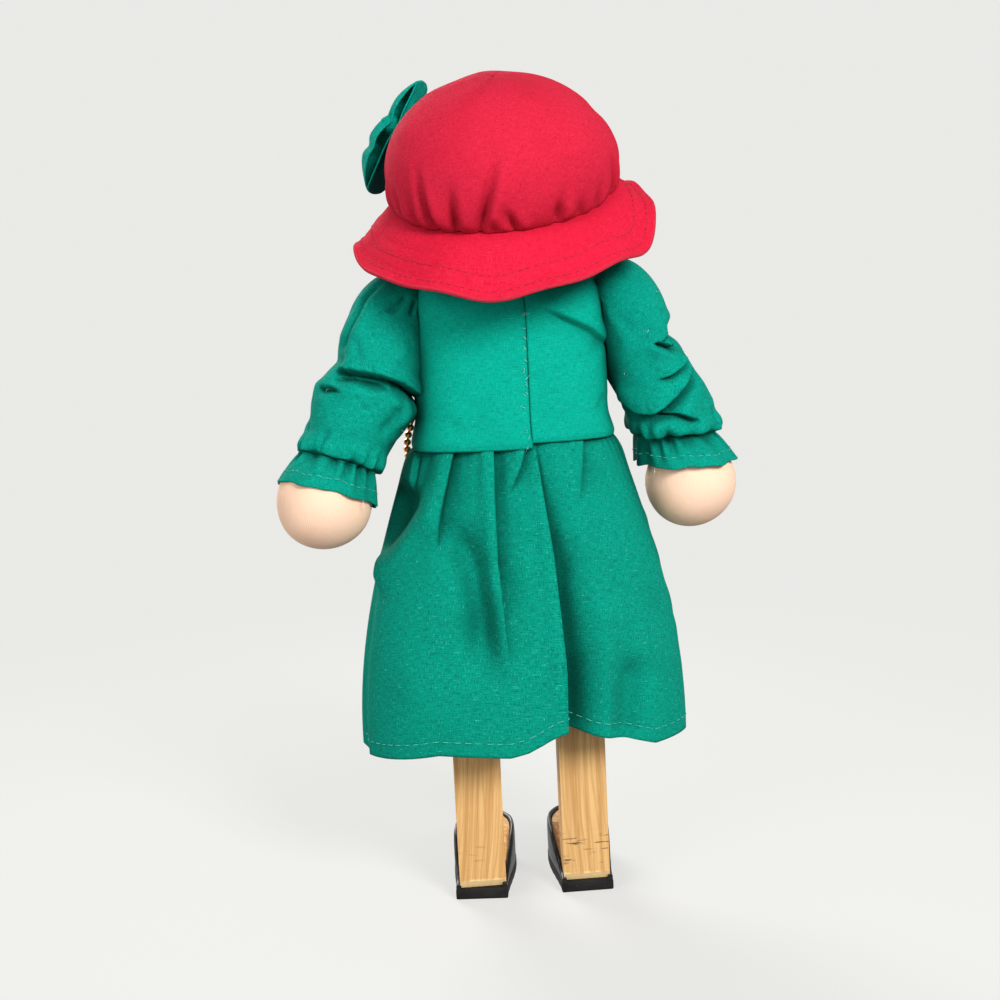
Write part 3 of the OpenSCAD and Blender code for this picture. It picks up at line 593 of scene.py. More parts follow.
def skirt_sheet():
    """The skirt, with the folds of the photograph behind and plain pleats in front."""
    rows, cols = 104, 440
    a, t = around(cols), shares(rows)
    seam_x = np.interp(-lerp(164.0, 67.0, t), [-z for x, z in SEAM], [x for x, z in SEAM])
    seam_a = np.arccos(seam_x / skirt_base(0.0, t)[1])
    a = a + (seam_a - seam_a.mean()) * hill(a - seam_a.mean(), 0.45)
    x0, half_w, half_d = skirt_base(a, t)
    back = soft((np.sin(a) + 0.05) / 0.3) + 0 * t
    top = WAIST_Z + 1.0 + np.where(x0 < -5.5, 1.9, 0.2) * back
    z = lerp(top, hem_height(x0, back), t)
    x = x0 + 0 * z
    folds, slide = np.zeros(x.shape), np.zeros(x.shape)
    for line, deep, wide, ends in PLEATS:
        folds = folds + tuck(line, x, z, deep, wide, ends, PLEAT_SHARP, -1)
        gap, share = away(line, x, z)
        over = hill(gap - 0.5, PLEAT_SHARP) - hill(gap + 0.8, PLEAT_SHARP)
        slide = slide + 0.3 * deep * over * fade(share, *ends)
    folds = grooved(folds, SKIRT_GROOVES, x, z)
    gap, share = away(SEAM, x, z)
    depth = table(share, [(0, 1.2), (0.18, 3.2), (0.4, 7.0), (0.7, 10.5), (1, 11.5)])
    width = table(share, [(0, 5.0), (0.3, 10.0), (0.6, 15.0), (1, 16.0)])
    right = -gap
    drop = soft(right + 0.5) * np.clip(1 - right / width, 0, 1) ** 1.25
    folds = folds - depth * drop + 0.7 * hill(right + 2.0, 2.4) * soft(share * 4)
    slide = slide + 0.25 * depth * (hill(right + 0.5, PLEAT_SHARP) - hill(right - 0.8, PLEAT_SHARP))
    folds, slide = folds * back, slide * back
    turn = np.degrees(a)
    front = np.cos(np.radians(9 * turn + 30 * np.sin(2 * a) + 35 * t))
    folds = folds + (1 - back) * (0.2 + 0.8 * t) * 2.6 * front
    for line, deep, wide, ends in FRONT_PLEATS:
        folds = folds + tuck(line, x, z, deep, wide, ends, PLEAT_SHARP, -1) * (1 - back)
    below_waist = 1 - np.exp(-t * 55)
    gather = np.cos(a * 46 + 3 * np.sin(5 * a)) * 0.25 * np.exp(-t * 16)
    folds = (folds + gather) * (0.35 + 0.65 * below_waist)
    folds = folds + crumple(x + 300 * (1 - back), z, 4, 22, (-50, 50, 60, 160), 26, 3.4, 0.6) * below_waist
    out = folds - 3.0 * t * (1 - back) - 1.4 * t * back + 1.7 * below_waist - 0.9
    sideways = lerp(1.0, lerp(0.3, 1.0, soft((np.abs(np.cos(a)) - 0.55) / 0.35)), back)
    p = np.stack([(half_w + out * sideways) * np.cos(a) - slide, (half_d + out) * np.sin(a), z], -1)
    return p, np.stack([a * 46.0 + 0 * t, z - 60], -1)


skirt_p, skirt_uv = skirt_sheet()
skirt = place(cloth("skirt_cloth", skirt_p, skirt_uv, mat_skirt, True, 0.55), "torso", "dress_cotton", "skirt")


def row_above_edge(p, height, lift):
    """Points round a grid, a set distance above its last row, with their normals."""
    n = normals_of(p, True)
    back_up = np.linalg.norm(np.diff(p, axis=0), axis=2)[::-1].cumsum(axis=0)
    pts, nor = [], []
    for j in range(p.shape[1]):
        k = min(int(np.searchsorted(back_up[:, j], height)), p.shape[0] - 2)
        below = back_up[k - 1, j] if k else 0.0
        f = (height - below) / max(back_up[k, j] - below, 1e-6)
        i = p.shape[0] - 1 - k
        pts.append(lerp(p[i, j], p[i - 1, j], f))
        nor.append(n[i, j])
    pts, nor = closed(np.array(pts)), closed(np.array(nor))
    return pts + nor * lift, nor


def sew(name, rows, radius, material, body, slot):
    """Stitches along rows of (points, normals, pitch, length, seed)."""
    lines = []
    for pts, nor, pitch, length, seed in rows:
        lines += stitch_row(pts, nor, pitch, length, radius * 0.9, seed)
    return place(tubes(name, lines, radius, material), body, slot)


hem_row = (*row_above_edge(skirt_p, 5.0, 0.02), 3.6, 2.3, 1)
hem_stitches = sew("hem_stitches", [hem_row], 0.17, mat_thread_green, "torso", "dress_cotton")


# Bodice

SIDE_TALL, NECK_Z = 42.5, 216.3
BODY_RANK = 0.8
BACK_HALF_W = 33
PAD_ROOM = 3.0
BACK_TUCK = [(-4.6, 210.5), (-13.7, 206.2), (-25.7, 200.3), (-33, 194.4)]
BACK_GROOVES = [
    ([(-31, 179), (-28.8, 174), (-25.4, 171)], -0.6, 1.6, (0.3, 0.4)),
    ([(26, 206), (14, 202), (2, 203)], 0.4, 4.0, (0.4, 0.4)),
    ([(30, 172), (18, 169), (6, 170)], -0.4, 3.0, (0.4, 0.4)),
]


def torso_rings(rows):
    """Half width, half depth and height of the bodice from the waist to the neck."""
    up = np.linspace(0, 1, rows)
    z = WAIST_Z + SIDE_TALL * up
    half_w = lerp(34.6, 32.5, soft(up * SIDE_TALL / 12.0))
    half_d = lerp(45.0, 44.0, (1 - up) ** 2) / 2
    a = np.linspace(0, math.pi / 2, rows // 2)[1:]
    top_w, top_d = lerp(22.0, 65.0, np.cos(a) ** 0.28) / 2, lerp(20.0, 45.0, np.cos(a) ** 0.5) / 2
    top_z = lerp(WAIST_Z + SIDE_TALL, NECK_Z, np.sin(a))
    return np.r_[half_w, top_w], np.r_[half_d, top_d], np.r_[z, top_z]


def squarer(c, rank):
    """A sine or cosine for a rounded square, with a rank below 1."""
    return np.sign(c) * np.abs(c) ** rank


def bodice_sheet(start, stop, cols, shape):
    """A panel of the bodice between two angles, rows from the neck to the waist."""
    half_w, half_d, z = (v[::-1, None] for v in torso_rings(64))
    share = np.linspace(0, 1, cols)[None, :]
    a = lerp(start, stop, share)
    x, y = half_w * squarer(np.cos(a), BODY_RANK), half_d * squarer(np.sin(a), BODY_RANK)
    corner = hill(np.abs(x) - 27, 5) * soft((z - 206) / 8) * soft((y + 4) / 10)
    p = np.stack([x, y, z + 2.6 * corner], -1)
    n = normals_of(p, False)
    out = crumple(x, p[..., 2], 11, 16, (-30, 30, 165, 205), 24, 3.0, 0.35)
    if shape:
        out = out + shape(x, p[..., 2])
    edge = np.clip((p[..., 2] - WAIST_Z) / 2.5, 0, 1)
    out = out + 0.5 - 0.5 * (1 - soft(edge))
    p = p + n * out[..., None]
    run = np.linalg.norm(np.diff(p, axis=1), axis=2).cumsum(axis=1)
    u = np.concatenate([np.zeros((p.shape[0], 1)), run], axis=1)
    rise = length_along(p[:, cols // 2])
    return p, np.stack([u, -rise[:, None] + 0 * u], -1)


def back_shape(x, z):
    out = tuck(BACK_TUCK, x, z, 2.8, 4.5, (0.45, 0.12), 1.0, 1)
    return grooved(out, BACK_GROOVES, x, z)


def seam_angle(x):
    return math.acos(math.copysign(abs(x / BACK_HALF_W) ** (1 / BODY_RANK), x))


BODICE = {}
for side, start, stop, cols, shape in (
    ("front", math.pi, 2 * math.pi, 150, None),
    ("back_left", 0.0, seam_angle(-4.6), 96, back_shape),
    ("back_right", seam_angle(-4.4), math.pi, 84, back_shape),
):
    grid_p, grid_uv = bodice_sheet(start, stop, cols, shape)
    if side == "back_left":
        share = np.linspace(0, 1, cols)[None, :, None]
        step_out = np.clip((share - 0.965) / 0.035, 0, 1)
        grid_p = grid_p + normals_of(grid_p, False) * (0.45 - 0.85 * soft(step_out))
    if side == "back_right":
        grid_p[..., 2] += 1.8 * np.clip((171 - grid_p[..., 2]) / 9, 0, 1)
    piece = place(cloth(f"bodice_{side}_cloth", grid_p, grid_uv, mat_bodice, False, 0.5), "torso", "dress_cotton",
                  f"bodice_{side}")
    BODICE[side] = grid_p


# Fluff where the back of the bodice closes
closing = BODICE["back_left"][:, -3][22:]
closing_n = normals_of(BODICE["back_left"], False)[:, -3][22:]
rng = np.random.default_rng(8)
tufts = []
for _ in range(26):
    k = rng.integers(0, len(closing))
    here = closing[k] + closing_n[k] * 0.1
    lean = np.array([rng.uniform(-1, 1), rng.uniform(0.0, 0.4), rng.uniform(-0.8, 0.8)]) * rng.uniform(0.5, 1.7)
    tufts.append([here, here + lean * 0.7 + closing_n[k] * 0.3, here + lean * 1.5 + closing_n[k] * 0.2])
place(tubes("seam_fluff", tufts, 0.07, mat_lint, 5), "torso", "dress_cotton")

rings_w, rings_d, rings_z = torso_rings(24)
pad_a = around(72)
pad_z = np.clip(rings_z[::-1, None], 164.0, 213.0) - 0.6 + 0 * pad_a
pad_p = np.stack([
    (rings_w[::-1, None] - PAD_ROOM) * squarer(np.cos(pad_a), BODY_RANK),
    (rings_d[::-1, None] - PAD_ROOM) * squarer(np.sin(pad_a), BODY_RANK),
    pad_z,
], -1)
pad_uv = np.stack([pad_a * 30 + 0 * pad_z, pad_z], -1)
body_wadding = place(cloth("body_wadding", pad_p, pad_uv, mat_wadding, True, 1.5), "torso", "wadding",
                     "body_padding")


# Arms

PIVOT_X, PIVOT_Z = 41.9, 204.0


def arm_axes(side, splay, swing):
    """Pivot, outward, back and down directions of an arm."""
    s, w = math.radians(splay), math.radians(swing)
    down = np.array([side * math.sin(s), math.cos(s) * math.sin(w), -math.cos(s) * math.cos(w)])
    out = np.array([side * math.cos(s), -math.sin(s) * math.sin(w), math.sin(s) * math.cos(w)])
    back = side * np.cross(down, out)
    return np.array([side * PIVOT_X, 0, PIVOT_Z]), out, -back if back[1] < 0 else back, down


def arm_grid(q, across, behind, down):
    """Points given along an arm's own directions."""
    pivot, out, back, fall = arm_axes(q["side"], q["splay"], q["swing"])
    return pivot + across[..., None] * out + behind[..., None] * back + down[..., None] * fall


# Outlines are (distance down the arm, distance out); folds are given by distance down and degrees around
LEFT_OUTER = [(0, 12.9), (8, 13.4), (13, 12.4), (17, 11.2), (21, 13.2), (26, 15.6), (32, 15.2), (39, 13.6),
              (44, 13), (50, 12.2)]
LEFT_INNER = [(0, -16.4), (6, -17), (10, -16.8), (14, -15.6), (17, -18), (24, -18.6), (32, -17.4), (42, -14.6),
              (50, -12.6)]
RIGHT_OUTER = [(0, 12.8), (5, 12.4), (8, 10.2), (10, 9.6), (13, 11.2), (18, 13), (24, 14.4), (31, 16.2),
               (38, 17.2), (44, 16), (50, 13.6)]
RIGHT_INNER = [(0, -13.6), (12, -14.6), (17, -15), (24, -13.8), (30, -12.8), (38, -12.6), (44, -12.4), (50, -12)]
SLEEVES = {
    "left": dict(
        side=1, splay=22.0, swing=12.5, outer=LEFT_OUTER, inner=LEFT_INNER, top=-20.0, wrist=49.5, tilt=0.8,
        frill=(60.2, 1.6), seed=21,
        tucks=[
            ([(20, 40), (18.6, 62), (17.1, 99), (16.8, 127), (17.7, 161), (16, 190), (17, 230)],
             3.6, 4.5, (0.1, 0.15)),
            ([(23.5, 50), (21, 70), (20.4, 100), (22, 118)], 1.5, 2.4, (0.2, 0.4)),
            ([(27, 30), (26.4, 58), (28.5, 78)], 1.7, 2.6, (0.2, 0.5)),
            ([(14, 250), (19, 290), (17, 330)], 2.6, 4.0, (0.2, 0.2)),
            ([(30, 205), (27, 250), (31, 300)], 1.8, 3.5, (0.3, 0.3)),
        ],
        grooves=[
            ([(24, 130), (30, 138), (38, 128)], -1.3, 2.6),
            ([(19, 140), (26, 150), (34, 152)], 1.1, 2.6),
            ([(-11, 101), (-6, 95), (-1, 86)], -1.2, 1.0),
            ([(-10, 116), (-3, 112)], -1.0, 1.0),
            ([(-15, 66), (-6, 48), (6, 40), (16, 44)], -1.6, 1.5),
            ([(-14, 84), (-4, 66), (8, 58), (16, 62)], 1.0, 3.4),
            ([(40, 70), (45, 66), (49, 66)], -1.0, 1.4),
            ([(5, 120), (12, 112), (15, 100)], 0.7, 2.4),
        ],
    ),
    "right": dict(
        side=-1, splay=19.0, swing=-5.0, outer=RIGHT_OUTER, inner=RIGHT_INNER, top=-20.8, wrist=44.0, tilt=5.0,
        frill=(54.6, 5.6), seed=22,
        tucks=[
            ([(8, 30), (9.4, 58), (12.4, 44), (14, 20)], 2.2, 2.4, (0.2, 0.3)),
            ([(17.5, 30), (19.8, 54), (21.3, 81), (21.6, 97)], 2.0, 2.4, (0.2, 0.4)),
            ([(20, 20), (22.9, 47), (26.4, 75), (29.6, 98), (30.4, 118), (28.4, 138), (23.4, 152), (20, 168)],
             3.4, 3.2, (0.12, 0.12)),
            ([(31.6, 122), (32.4, 106), (33.6, 91), (38, 76), (41, 66)], 2.0, 2.4, (0.2, 0.3)),
            ([(16, 240), (20, 285), (17, 330)], 2.6, 4.0, (0.2, 0.2)),
            ([(30, 210), (33, 255), (30, 300)], 1.8, 3.5, (0.3, 0.3)),
        ],
        grooves=[
            ([(13, 52), (19, 50)], -0.7, 0.9),
            ([(38, 104), (41.4, 112), (43, 100)], -1.0, 1.2),
            ([(40, 84), (43.6, 80), (46, 84)], -1.0, 1.2),
            ([(38, 30), (44, 36), (49, 36)], -1.2, 1.4),
            ([(0, 60), (8, 80), (16, 84)], 0.6, 3.0),
            ([(-8, 110), (2, 112), (12, 108)], 0.5, 3.0),
        ],
    ),
}
# Millimetres around a sleeve for each degree
ROUND = 15.5 * math.pi / 180
HAND_R = 16.0
HAND_DOWN = 63.0
HAND_ROOM = 0.95
SLEEVE_RANK = 0.88
WALL_W, WALL_D, WALL_LEAST = 33.4, 23.4, 28.6
CAP_SHARE = 0.3


def hand_centre(q):
    pivot, _, _, fall = arm_axes(q["side"], q["splay"], q["swing"])
    return pivot + fall * HAND_DOWN


def cuff_gathers(q, a):
    return np.cos(a * 14 + 2.0 * np.sin(3 * a) + q["seed"])


def sleeve_sheet(q):
    """A puffed sleeve: a dome over the shoulder, then the outlines down to the wrist, with tucks and wrinkles."""
    rows, cols = 150, 200
    share, a = shares(rows), around(cols)
    turn = np.degrees(a)
    finish = q["wrist"] + q["tilt"] * np.cos(a)
    high = np.clip(share / CAP_SHARE, 0, 1)
    low = np.clip((share - CAP_SHARE) / (1 - CAP_SHARE), 0, 1)
    fall = np.where(share < CAP_SHARE, q["top"] * np.cos(high * math.pi / 2), finish * low)
    dome = np.sqrt(np.clip(1 - (np.minimum(fall, 0) / (q["top"] * 1.0015)) ** 2, 0, 1))
    outer, inner = table(np.maximum(fall, 0), q["outer"]), table(np.maximum(fall, 0), q["inner"])
    centre, half = (outer + inner) / 2, (outer - inner) / 2 * dome
    depth = lerp(15.6, 12.4, soft((fall - 36) / 13)) * dome
    x, y = fall + 0 * turn, turn * ROUND + 0 * fall
    out = np.zeros(x.shape)
    slide = np.zeros(x.shape)
    for line, size, width, ends in q["tucks"]:
        pts = [(s, d * ROUND) for s, d in line]
        for shift in (0, 360 * ROUND, -360 * ROUND):
            gap, part = away([(s, d + shift) for s, d in pts], x, y)
            below = np.where((x - np.interp(y, *zip(*sorted((d + shift, s) for s, d in pts)))) > 0, 1.0, -1.0)
            gap = np.abs(gap) * below
            keep = fade(part, *ends)
            above = hill(np.minimum(gap, 0), width * 1.6) * soft(0.5 - gap)
            drop = soft((gap + 0.35) / 0.7) * np.exp(-(np.maximum(gap, 0) / (width * 0.9)) ** 1.2)
            ridge = 0.25 * hill(gap - width * 1.9, width)
            out = out + 1.6 * size * (0.45 * above + ridge - drop) * keep
            slide = slide + 0.55 * size * hill(gap + 0.4, 1.5) * keep
    for line, size, width in q["grooves"]:
        out = out + groove([(s, d * ROUND) for s, d in line], x, y, size, width, (0.3, 0.3))
    out = out + crumple(x, y, q["seed"], 60, (-6, 46, 0, 97), 16, 2.0, 0.9)
    rise = finish - fall
    out = out + 1.5 * hill(rise - 4.0, 2.6) - 1.8 * soft((2.2 - rise) / 2.2)
    slide = slide + (1.7 + 0.6 * np.cos(a * 7 + q["seed"])) * hill(rise - 3.2, 1.8)
    near_cuff = soft((fall - finish + 9) / 9)
    out = out + near_cuff * 1.1 * cuff_gathers(q, a)
    out = out * soft((fall - q["top"]) / 7) * np.where(near_cuff > 0.96, 0.9, 1.0)
    p = arm_grid(q, centre + (half + out) * squarer(np.cos(a), SLEEVE_RANK),
                 (depth + out) * squarer(np.sin(a), SLEEVE_RANK), fall + slide)
    # The sleeve stays outside the bodice
    side = q["side"]
    deep = np.clip(np.abs(p[..., 1]) / WALL_D, 0, 1)
    wall = np.maximum(WALL_W * (1 - deep ** 2.5) ** 0.4, WALL_LEAST) + 0.2 * np.sin(a * 7 + fall * 0.4)
    wall = lerp(wall, 26.0, soft((p[..., 2] - 208.5) / 5))
    p[..., 0] = side * np.maximum(side * p[..., 0], wall)
    return p, np.stack([y + 0 * x, -x], -1)


def cuff_sheet(q):
    """The frill below the wrist, kept clear of the hand."""
    rows, cols = 26, 200
    t, a = shares(rows), around(cols)
    begin_at = q["wrist"] + q["tilt"] * np.cos(a)
    end_at = q["frill"][0] + q["frill"][1] * np.cos(a)
    wave = np.cos(a * 8 + 1.3 * np.sin(2 * a) + q["seed"]) + 0.45 * np.cos(a * 13 + q["seed"] * 2)
    fall = lerp(begin_at - 0.4, end_at + 0.25 * wave, t)
    r = lerp(11.6, 17.1, t ** 0.7) + 0.55 * wave * t ** 1.3 + 1.3 * cuff_gathers(q, a) * (1 - t) ** 1.1
    middle = 0.6 + 0.6 * t if q["side"] < 0 else 0.0
    p = arm_grid(q, middle + r * np.cos(a), r * np.sin(a), fall)
    off = p - hand_centre(q)
    far = np.linalg.norm(off, axis=-1, keepdims=True)
    p = hand_centre(q) + off * np.maximum(far, HAND_R + HAND_ROOM) / far
    return p, np.stack([a * 17 + 0 * t, -t * 11 + 0 * a], -1)


for side_name, q in SLEEVES.items():
    flip = (lambda g: g) if q["side"] > 0 else (lambda g: g[:, ::-1])
    body = f"{side_name}_arm"
    sleeve_p, sleeve_uv = map(flip, sleeve_sheet(q))
    sleeve = place(cloth(f"{side_name}_sleeve_cloth", sleeve_p, sleeve_uv, mat_sleeve, True, 0.5), body,
                   "dress_cotton", f"{side_name}_sleeve")
    cuff_p, cuff_uv = map(flip, cuff_sheet(q))
    cuff = place(cloth(f"{side_name}_cuff_cloth", cuff_p, cuff_uv, mat_sleeve, True, 0.5), body, "dress_cotton",
                 f"{side_name}_cuff")
    edge_row = (*row_above_edge(cuff_p, 4.2, 0.02), 2.9, 1.9, 5)
    cuff_stitches = sew(f"{side_name}_cuff_stitches", [edge_row], 0.15, mat_thread_green, body, "dress_cotton")
    place(tubes(f"{side_name}_cuff_gather", [closed(cuff_p[1])], 0.4, mat_sleeve), body, "dress_cotton")
    hand = ball(f"{side_name}_hand_ball", hand_centre(q), HAND_R, mat_hand, 72, 96,
                lambda d, k=q["seed"]: 0.18 * np.sin(3 * d[..., 0] + k) * np.cos(4 * d[..., 2]))
    place(hand, body, "skin_knit", f"{side_name}_hand")
    rng = np.random.default_rng(30 + q["seed"])
    loose = []
    for _ in range(5):
        here = cuff_p[-1, int(rng.integers(0, cuff_p.shape[1]))]
        lean = np.array([rng.uniform(-1, 1), rng.uniform(-0.2, 0.8), rng.uniform(-1.4, -0.2)])
        loose.append([here, here + lean, here + lean * 2.2 + np.array([0.3, 0, -0.4])])
    cloth_n = normals_of(sleeve_p, True)
    for _ in range(9):
        i, j = int(rng.integers(20, 120)), int(rng.integers(0, sleeve_p.shape[1]))
        here, lean = sleeve_p[i, j] + cloth_n[i, j] * 0.1, rng.uniform(-1.2, 1.2, 3)
        loose.append([here, here + lean * 0.6 + cloth_n[i, j] * 0.5, here + lean + cloth_n[i, j] * 0.15])
    place(tubes(f"{side_name}_cuff_threads", loose, 0.07, mat_thread_white, 5), body, "dress_cotton")


# Hat

def turned(axis, degrees):
    return np.array(Matrix.Rotation(math.radians(degrees), 3, axis))


HAT_R = turned("Y", 4.0) @ turned("X", -23.0)
HAT_AT = np.array([0.0, 1.5, 246.0])
CROWN_R, CROWN_H, CROWN_RISE = 38.5, 30.0, 10.0
CROWN_ARC = math.radians(36.0)
# Gathers of the crown: degrees around, height, depth and lean
GATHERS = [
    (50, 26, 2.6, 0.28), (61, 22, 2.2, 0.04), (72.5, 34, 2.8, -0.24), (91, 12, 1.8, 0.3), (112, 16, 2.2, -0.13),
    (157, 20, 2.4, 0.05), (80, 9, 0.8, 0.1), (127, 10, 1.0, 0.1), (139, 14, 1.3, -0.1), (38, 16, 1.6, 0.2),
    (25, 16, 1.4, 0.1),
]


def on_hat(p):
    return p @ HAT_R.T + HAT_AT


def crown_sheet():
    """The puffed crown, gathered above the brim."""
    rows, cols = 90, 260
    t, a = shares(rows), around(cols)
    lift = lerp(math.radians(89), math.asin(-CROWN_RISE / CROWN_H), t ** 0.9)
    n_r, n_z = np.cos(lift), np.sin(lift)
    r, z = CROWN_R * n_r, CROWN_RISE + CROWN_H * n_z
    turn = np.degrees(a)
    along = (math.pi / 2 - lift) * 34
    rng = np.random.default_rng(41)
    out = np.zeros((rows, cols))
    in_front = [(176 + k * 16.5 + rng.uniform(-6, 6), rng.uniform(10, 28), rng.uniform(1.0, 2.4),
                 rng.uniform(-0.25, 0.25)) for k in range(12)]
    high = along[-1, 0] - along
    for where, tall, deep, lean in GATHERS + in_front:
        d = ((turn - where + 180) % 360 - 180) * CROWN_ARC + lean * high
        part = np.clip(high / tall, 0, 1)
        keep = (0.3 + 0.7 * soft(part / 0.22)) * (1 - soft((part - 0.2) / 0.8))
        width = 1.0 + 1.3 * part
        out = out - 1.3 * deep * hill(d, width) * keep + 0.55 * deep * hill(d - 3.2, 2.4) * keep
    out = out + 0.5 * np.cos(a * 5 + 1) * n_z * n_r + 0.4 * np.sin(3 * a) * n_r
    corner = hill(turn - 172, 16) * hill(np.degrees(lift) - 8, 18)
    out = out + 1.2 * corner + crumple(turn * CROWN_ARC, along, 42, 26, (0, 226, 12, 60), 22, 3.0, 0.5)
    tuck_in = 0.6 * np.exp(-high / 2.0)
    wide = r + out * n_r - 1.2 * tuck_in
    p = np.stack([wide * np.cos(a), wide * np.sin(a), z + out * n_z + 0 * a], -1)
    return on_hat(p), np.stack([turn * CROWN_ARC + 0 * along, -along + 0 * a], -1)


crown_p, crown_uv = crown_sheet()
crown = place(cloth("hat_crown_cloth", crown_p, crown_uv, mat_crown, True, 0.6), "head", "hat_cotton", "hat_crown")


def brim_sheet():
    """The wavy brim, turned up at the doll's right."""
    rows, cols = 44, 300
    t, a = shares(rows), around(cols)
    edge = 51.0 + 3.0 * np.sin(a) + 0.5 * np.sin(5 * a + 1) - 1.6 * hill(np.degrees(a) - 178, 30)
    r = lerp(30.5, edge, t)
    waves = 1.1 * np.sin(7 * a + 1.3 * np.sin(2 * a) + 0.4) + 0.7 * np.sin(11 * a + 2) + 0.5 * np.sin(4 * a)
    fall = -12.0 * soft((t - 0.2) / 0.8) * (0.35 + 0.65 * t) + 0.9 * (1 - soft(t / 0.3))
    curl = 8.0 * t ** 1.3 * hill(np.degrees(a) - 182, 28)
    puckers = 0.12 * np.sin(a * 90) * hill(t - 0.55, 0.1) + 0.12 * np.sin(a * 84) * hill(t - 0.85, 0.07)
    groove_rows = -0.35 * hill(t - 0.6, 0.035) - 0.35 * hill(t - 0.86, 0.03)
    x, y = r * np.cos(a), r * np.sin(a)
    wrinkles = crumple(x, y, 43, 24, (-50, 50, -50, 50), 16, 2.4, 0.35) * t
    z = fall + t * t * waves + curl + puckers + groove_rows + wrinkles
    gather = 0.2 * np.cos(a * 19 + 5 * np.sin(4 * a)) * np.exp(-t * 7)
    p = np.stack([x, y, z + gather], -1)
    return on_hat(p), np.stack([a * 44 + 0 * t, -t * 18 + 0 * a], -1)


brim_p, brim_uv = brim_sheet()
brim = place(cloth("hat_brim_cloth", brim_p, brim_uv, mat_brim, True, 1.3), "head", "hat_cotton", "hat_brim")
brim_rows = [(*row_above_edge(brim_p, height, 0.05), 2.5, 1.7, seed) for height, seed in ((2.6, 51), (8.0, 52))]
brim_stitches = sew("brim_stitches", brim_rows, 0.15, mat_thread_red, "head", "hat_cotton")
lip = brim_p[-1] - normals_of(brim_p, True)[-1] * 0.65
place(tubes("brim_lip", [closed(lip)], 0.72, mat_brim_edge, 8), "head", "hat_cotton")

hat_middle = HAT_AT + HAT_R @ np.array([0, 0, 8.0])
filling_p = hat_middle + (crown_p[8:70] - hat_middle) * 0.955
filling = place(surface("hat_wadding", filling_p, crown_uv[8:70], mat_wadding), "head", "wadding", "hat_filling")


# Bow on the left of the crown

def on_crown(p):
    """Points given from the foot of the bow, on the left of the crown."""
    rise = math.radians(19)
    at = np.array([CROWN_R * math.cos(rise), 0, CROWN_RISE + CROWN_H * math.sin(rise)])
    p = p @ (turned("Y", 71.0) @ turned("Z", 25.0)).T + at
    return on_hat(p @ turned("Z", -34.0).T)


def bow_loop(name, way, start, length, width, shift, high, dip, node, seed):
    """A puffed loop of ribbon: out along its top and back along the crown."""
    rows, cols = 72, 44
    q, w = shares(rows), np.linspace(-1, 1, cols)[None, :]
    part = np.sin((1 - np.abs(2 * q - 1)) * math.pi / 2)
    arch = np.sin(math.pi * part) ** 0.75
    crease = 1 - dip * hill(part - 0.42, 0.09)
    half = 3.0 + (width / 2 - 3.0) * np.sin(math.pi * (0.08 + 0.72 * part)) ** 0.8
    top = lerp(start, 2.0, part) + high * arch * crease
    low = lerp(1.5, 2.0, part) - 0.7 * arch
    z = np.where(q < 0.5, top - 0.55 * (top - low) * w ** 2, low + 0 * w)
    z = z + np.cos(w * 8 + seed) * np.exp(-part * 2.6) + 0.25 * np.sin(w * 5 + part * 6 + seed) * arch
    x = way * (-1.5 + (length + 4.0) * part - 1.8 * (w ** 2) * part ** 3)
    p = on_crown(np.stack([x, w * half + shift * part, z], -1))
    uv = np.stack([w * half, q * 2 * length + 0 * w], -1)
    if way > 0:
        p, uv = p[:, ::-1], uv[:, ::-1]
    loop = place(cloth(name, p, uv, mat_bow, False, 0.5), "head", "bow_cotton", node)


bow_loop("bow_upper_cloth", -1, 5.0, 14.6, 13.0, -4.5, 3.0, 0.0, "bow_upper_loop", 1.0)
bow_loop("bow_lower_cloth", 1, 6.0, 21.0, 18.0, 0.0, 5.6, 0.35, "bow_lower_loop", 2.0)
knot_t, knot_a = np.linspace(0.05, math.pi - 0.05, 30)[:, None], around(48)
knot_r = np.sin(knot_t) ** 0.7 * (1 + 0.05 * np.cos(knot_a * 6 + 2))
knot_p = on_crown(np.stack([3.4 * knot_r * np.cos(knot_a), 4.8 * np.cos(knot_t) + 0 * knot_a,
                            4.6 + 3.6 * knot_r * np.sin(knot_a)], -1))
knot_uv = np.stack([knot_a * 4.2 + 0 * knot_t, knot_t * 5 + 0 * knot_a], -1)
place(surface("bow_knot_cloth", knot_p, knot_uv, mat_bow), "head", "bow_cotton", "bow_knot")


# Head with a plain painted face at the front

HEAD, HEAD_R = np.array([0.0, 0.0, 246.5]), 31.75
EYE_X, EYE_Z, EYE_W, EYE_H = 8.2, -2.0, 2.3, 3.0


def on_face(x, z, out=0.0):
    """A point on the front of the head, or out from it."""
    y = -math.sqrt(max((HEAD_R + out) ** 2 - x * x - z * z, 0.0))
    return HEAD + np.array([x, y, z])


cheeks = [(tuple(on_face(s * 14.5, -8.5) * MM), 0.0085, rgb(236, 120, 104), 0.55) for s in (-1, 1)]
mat_head = knit("head_knit_cloth", rgb(240, 204, 176), rgb(230, 190, 160), cheeks)
head = place(ball("head_knit", HEAD, HEAD_R, mat_head, 110, 150), "head", "skin_knit", "head_ball")
mat_eye = simple("eye_paint", rgb(30, 24, 22), rgb(52, 42, 38), 700.0, 0.25)
mat_mouth = simple("mouth_paint", rgb(190, 62, 60), rgb(164, 46, 48), 700.0, 0.5)


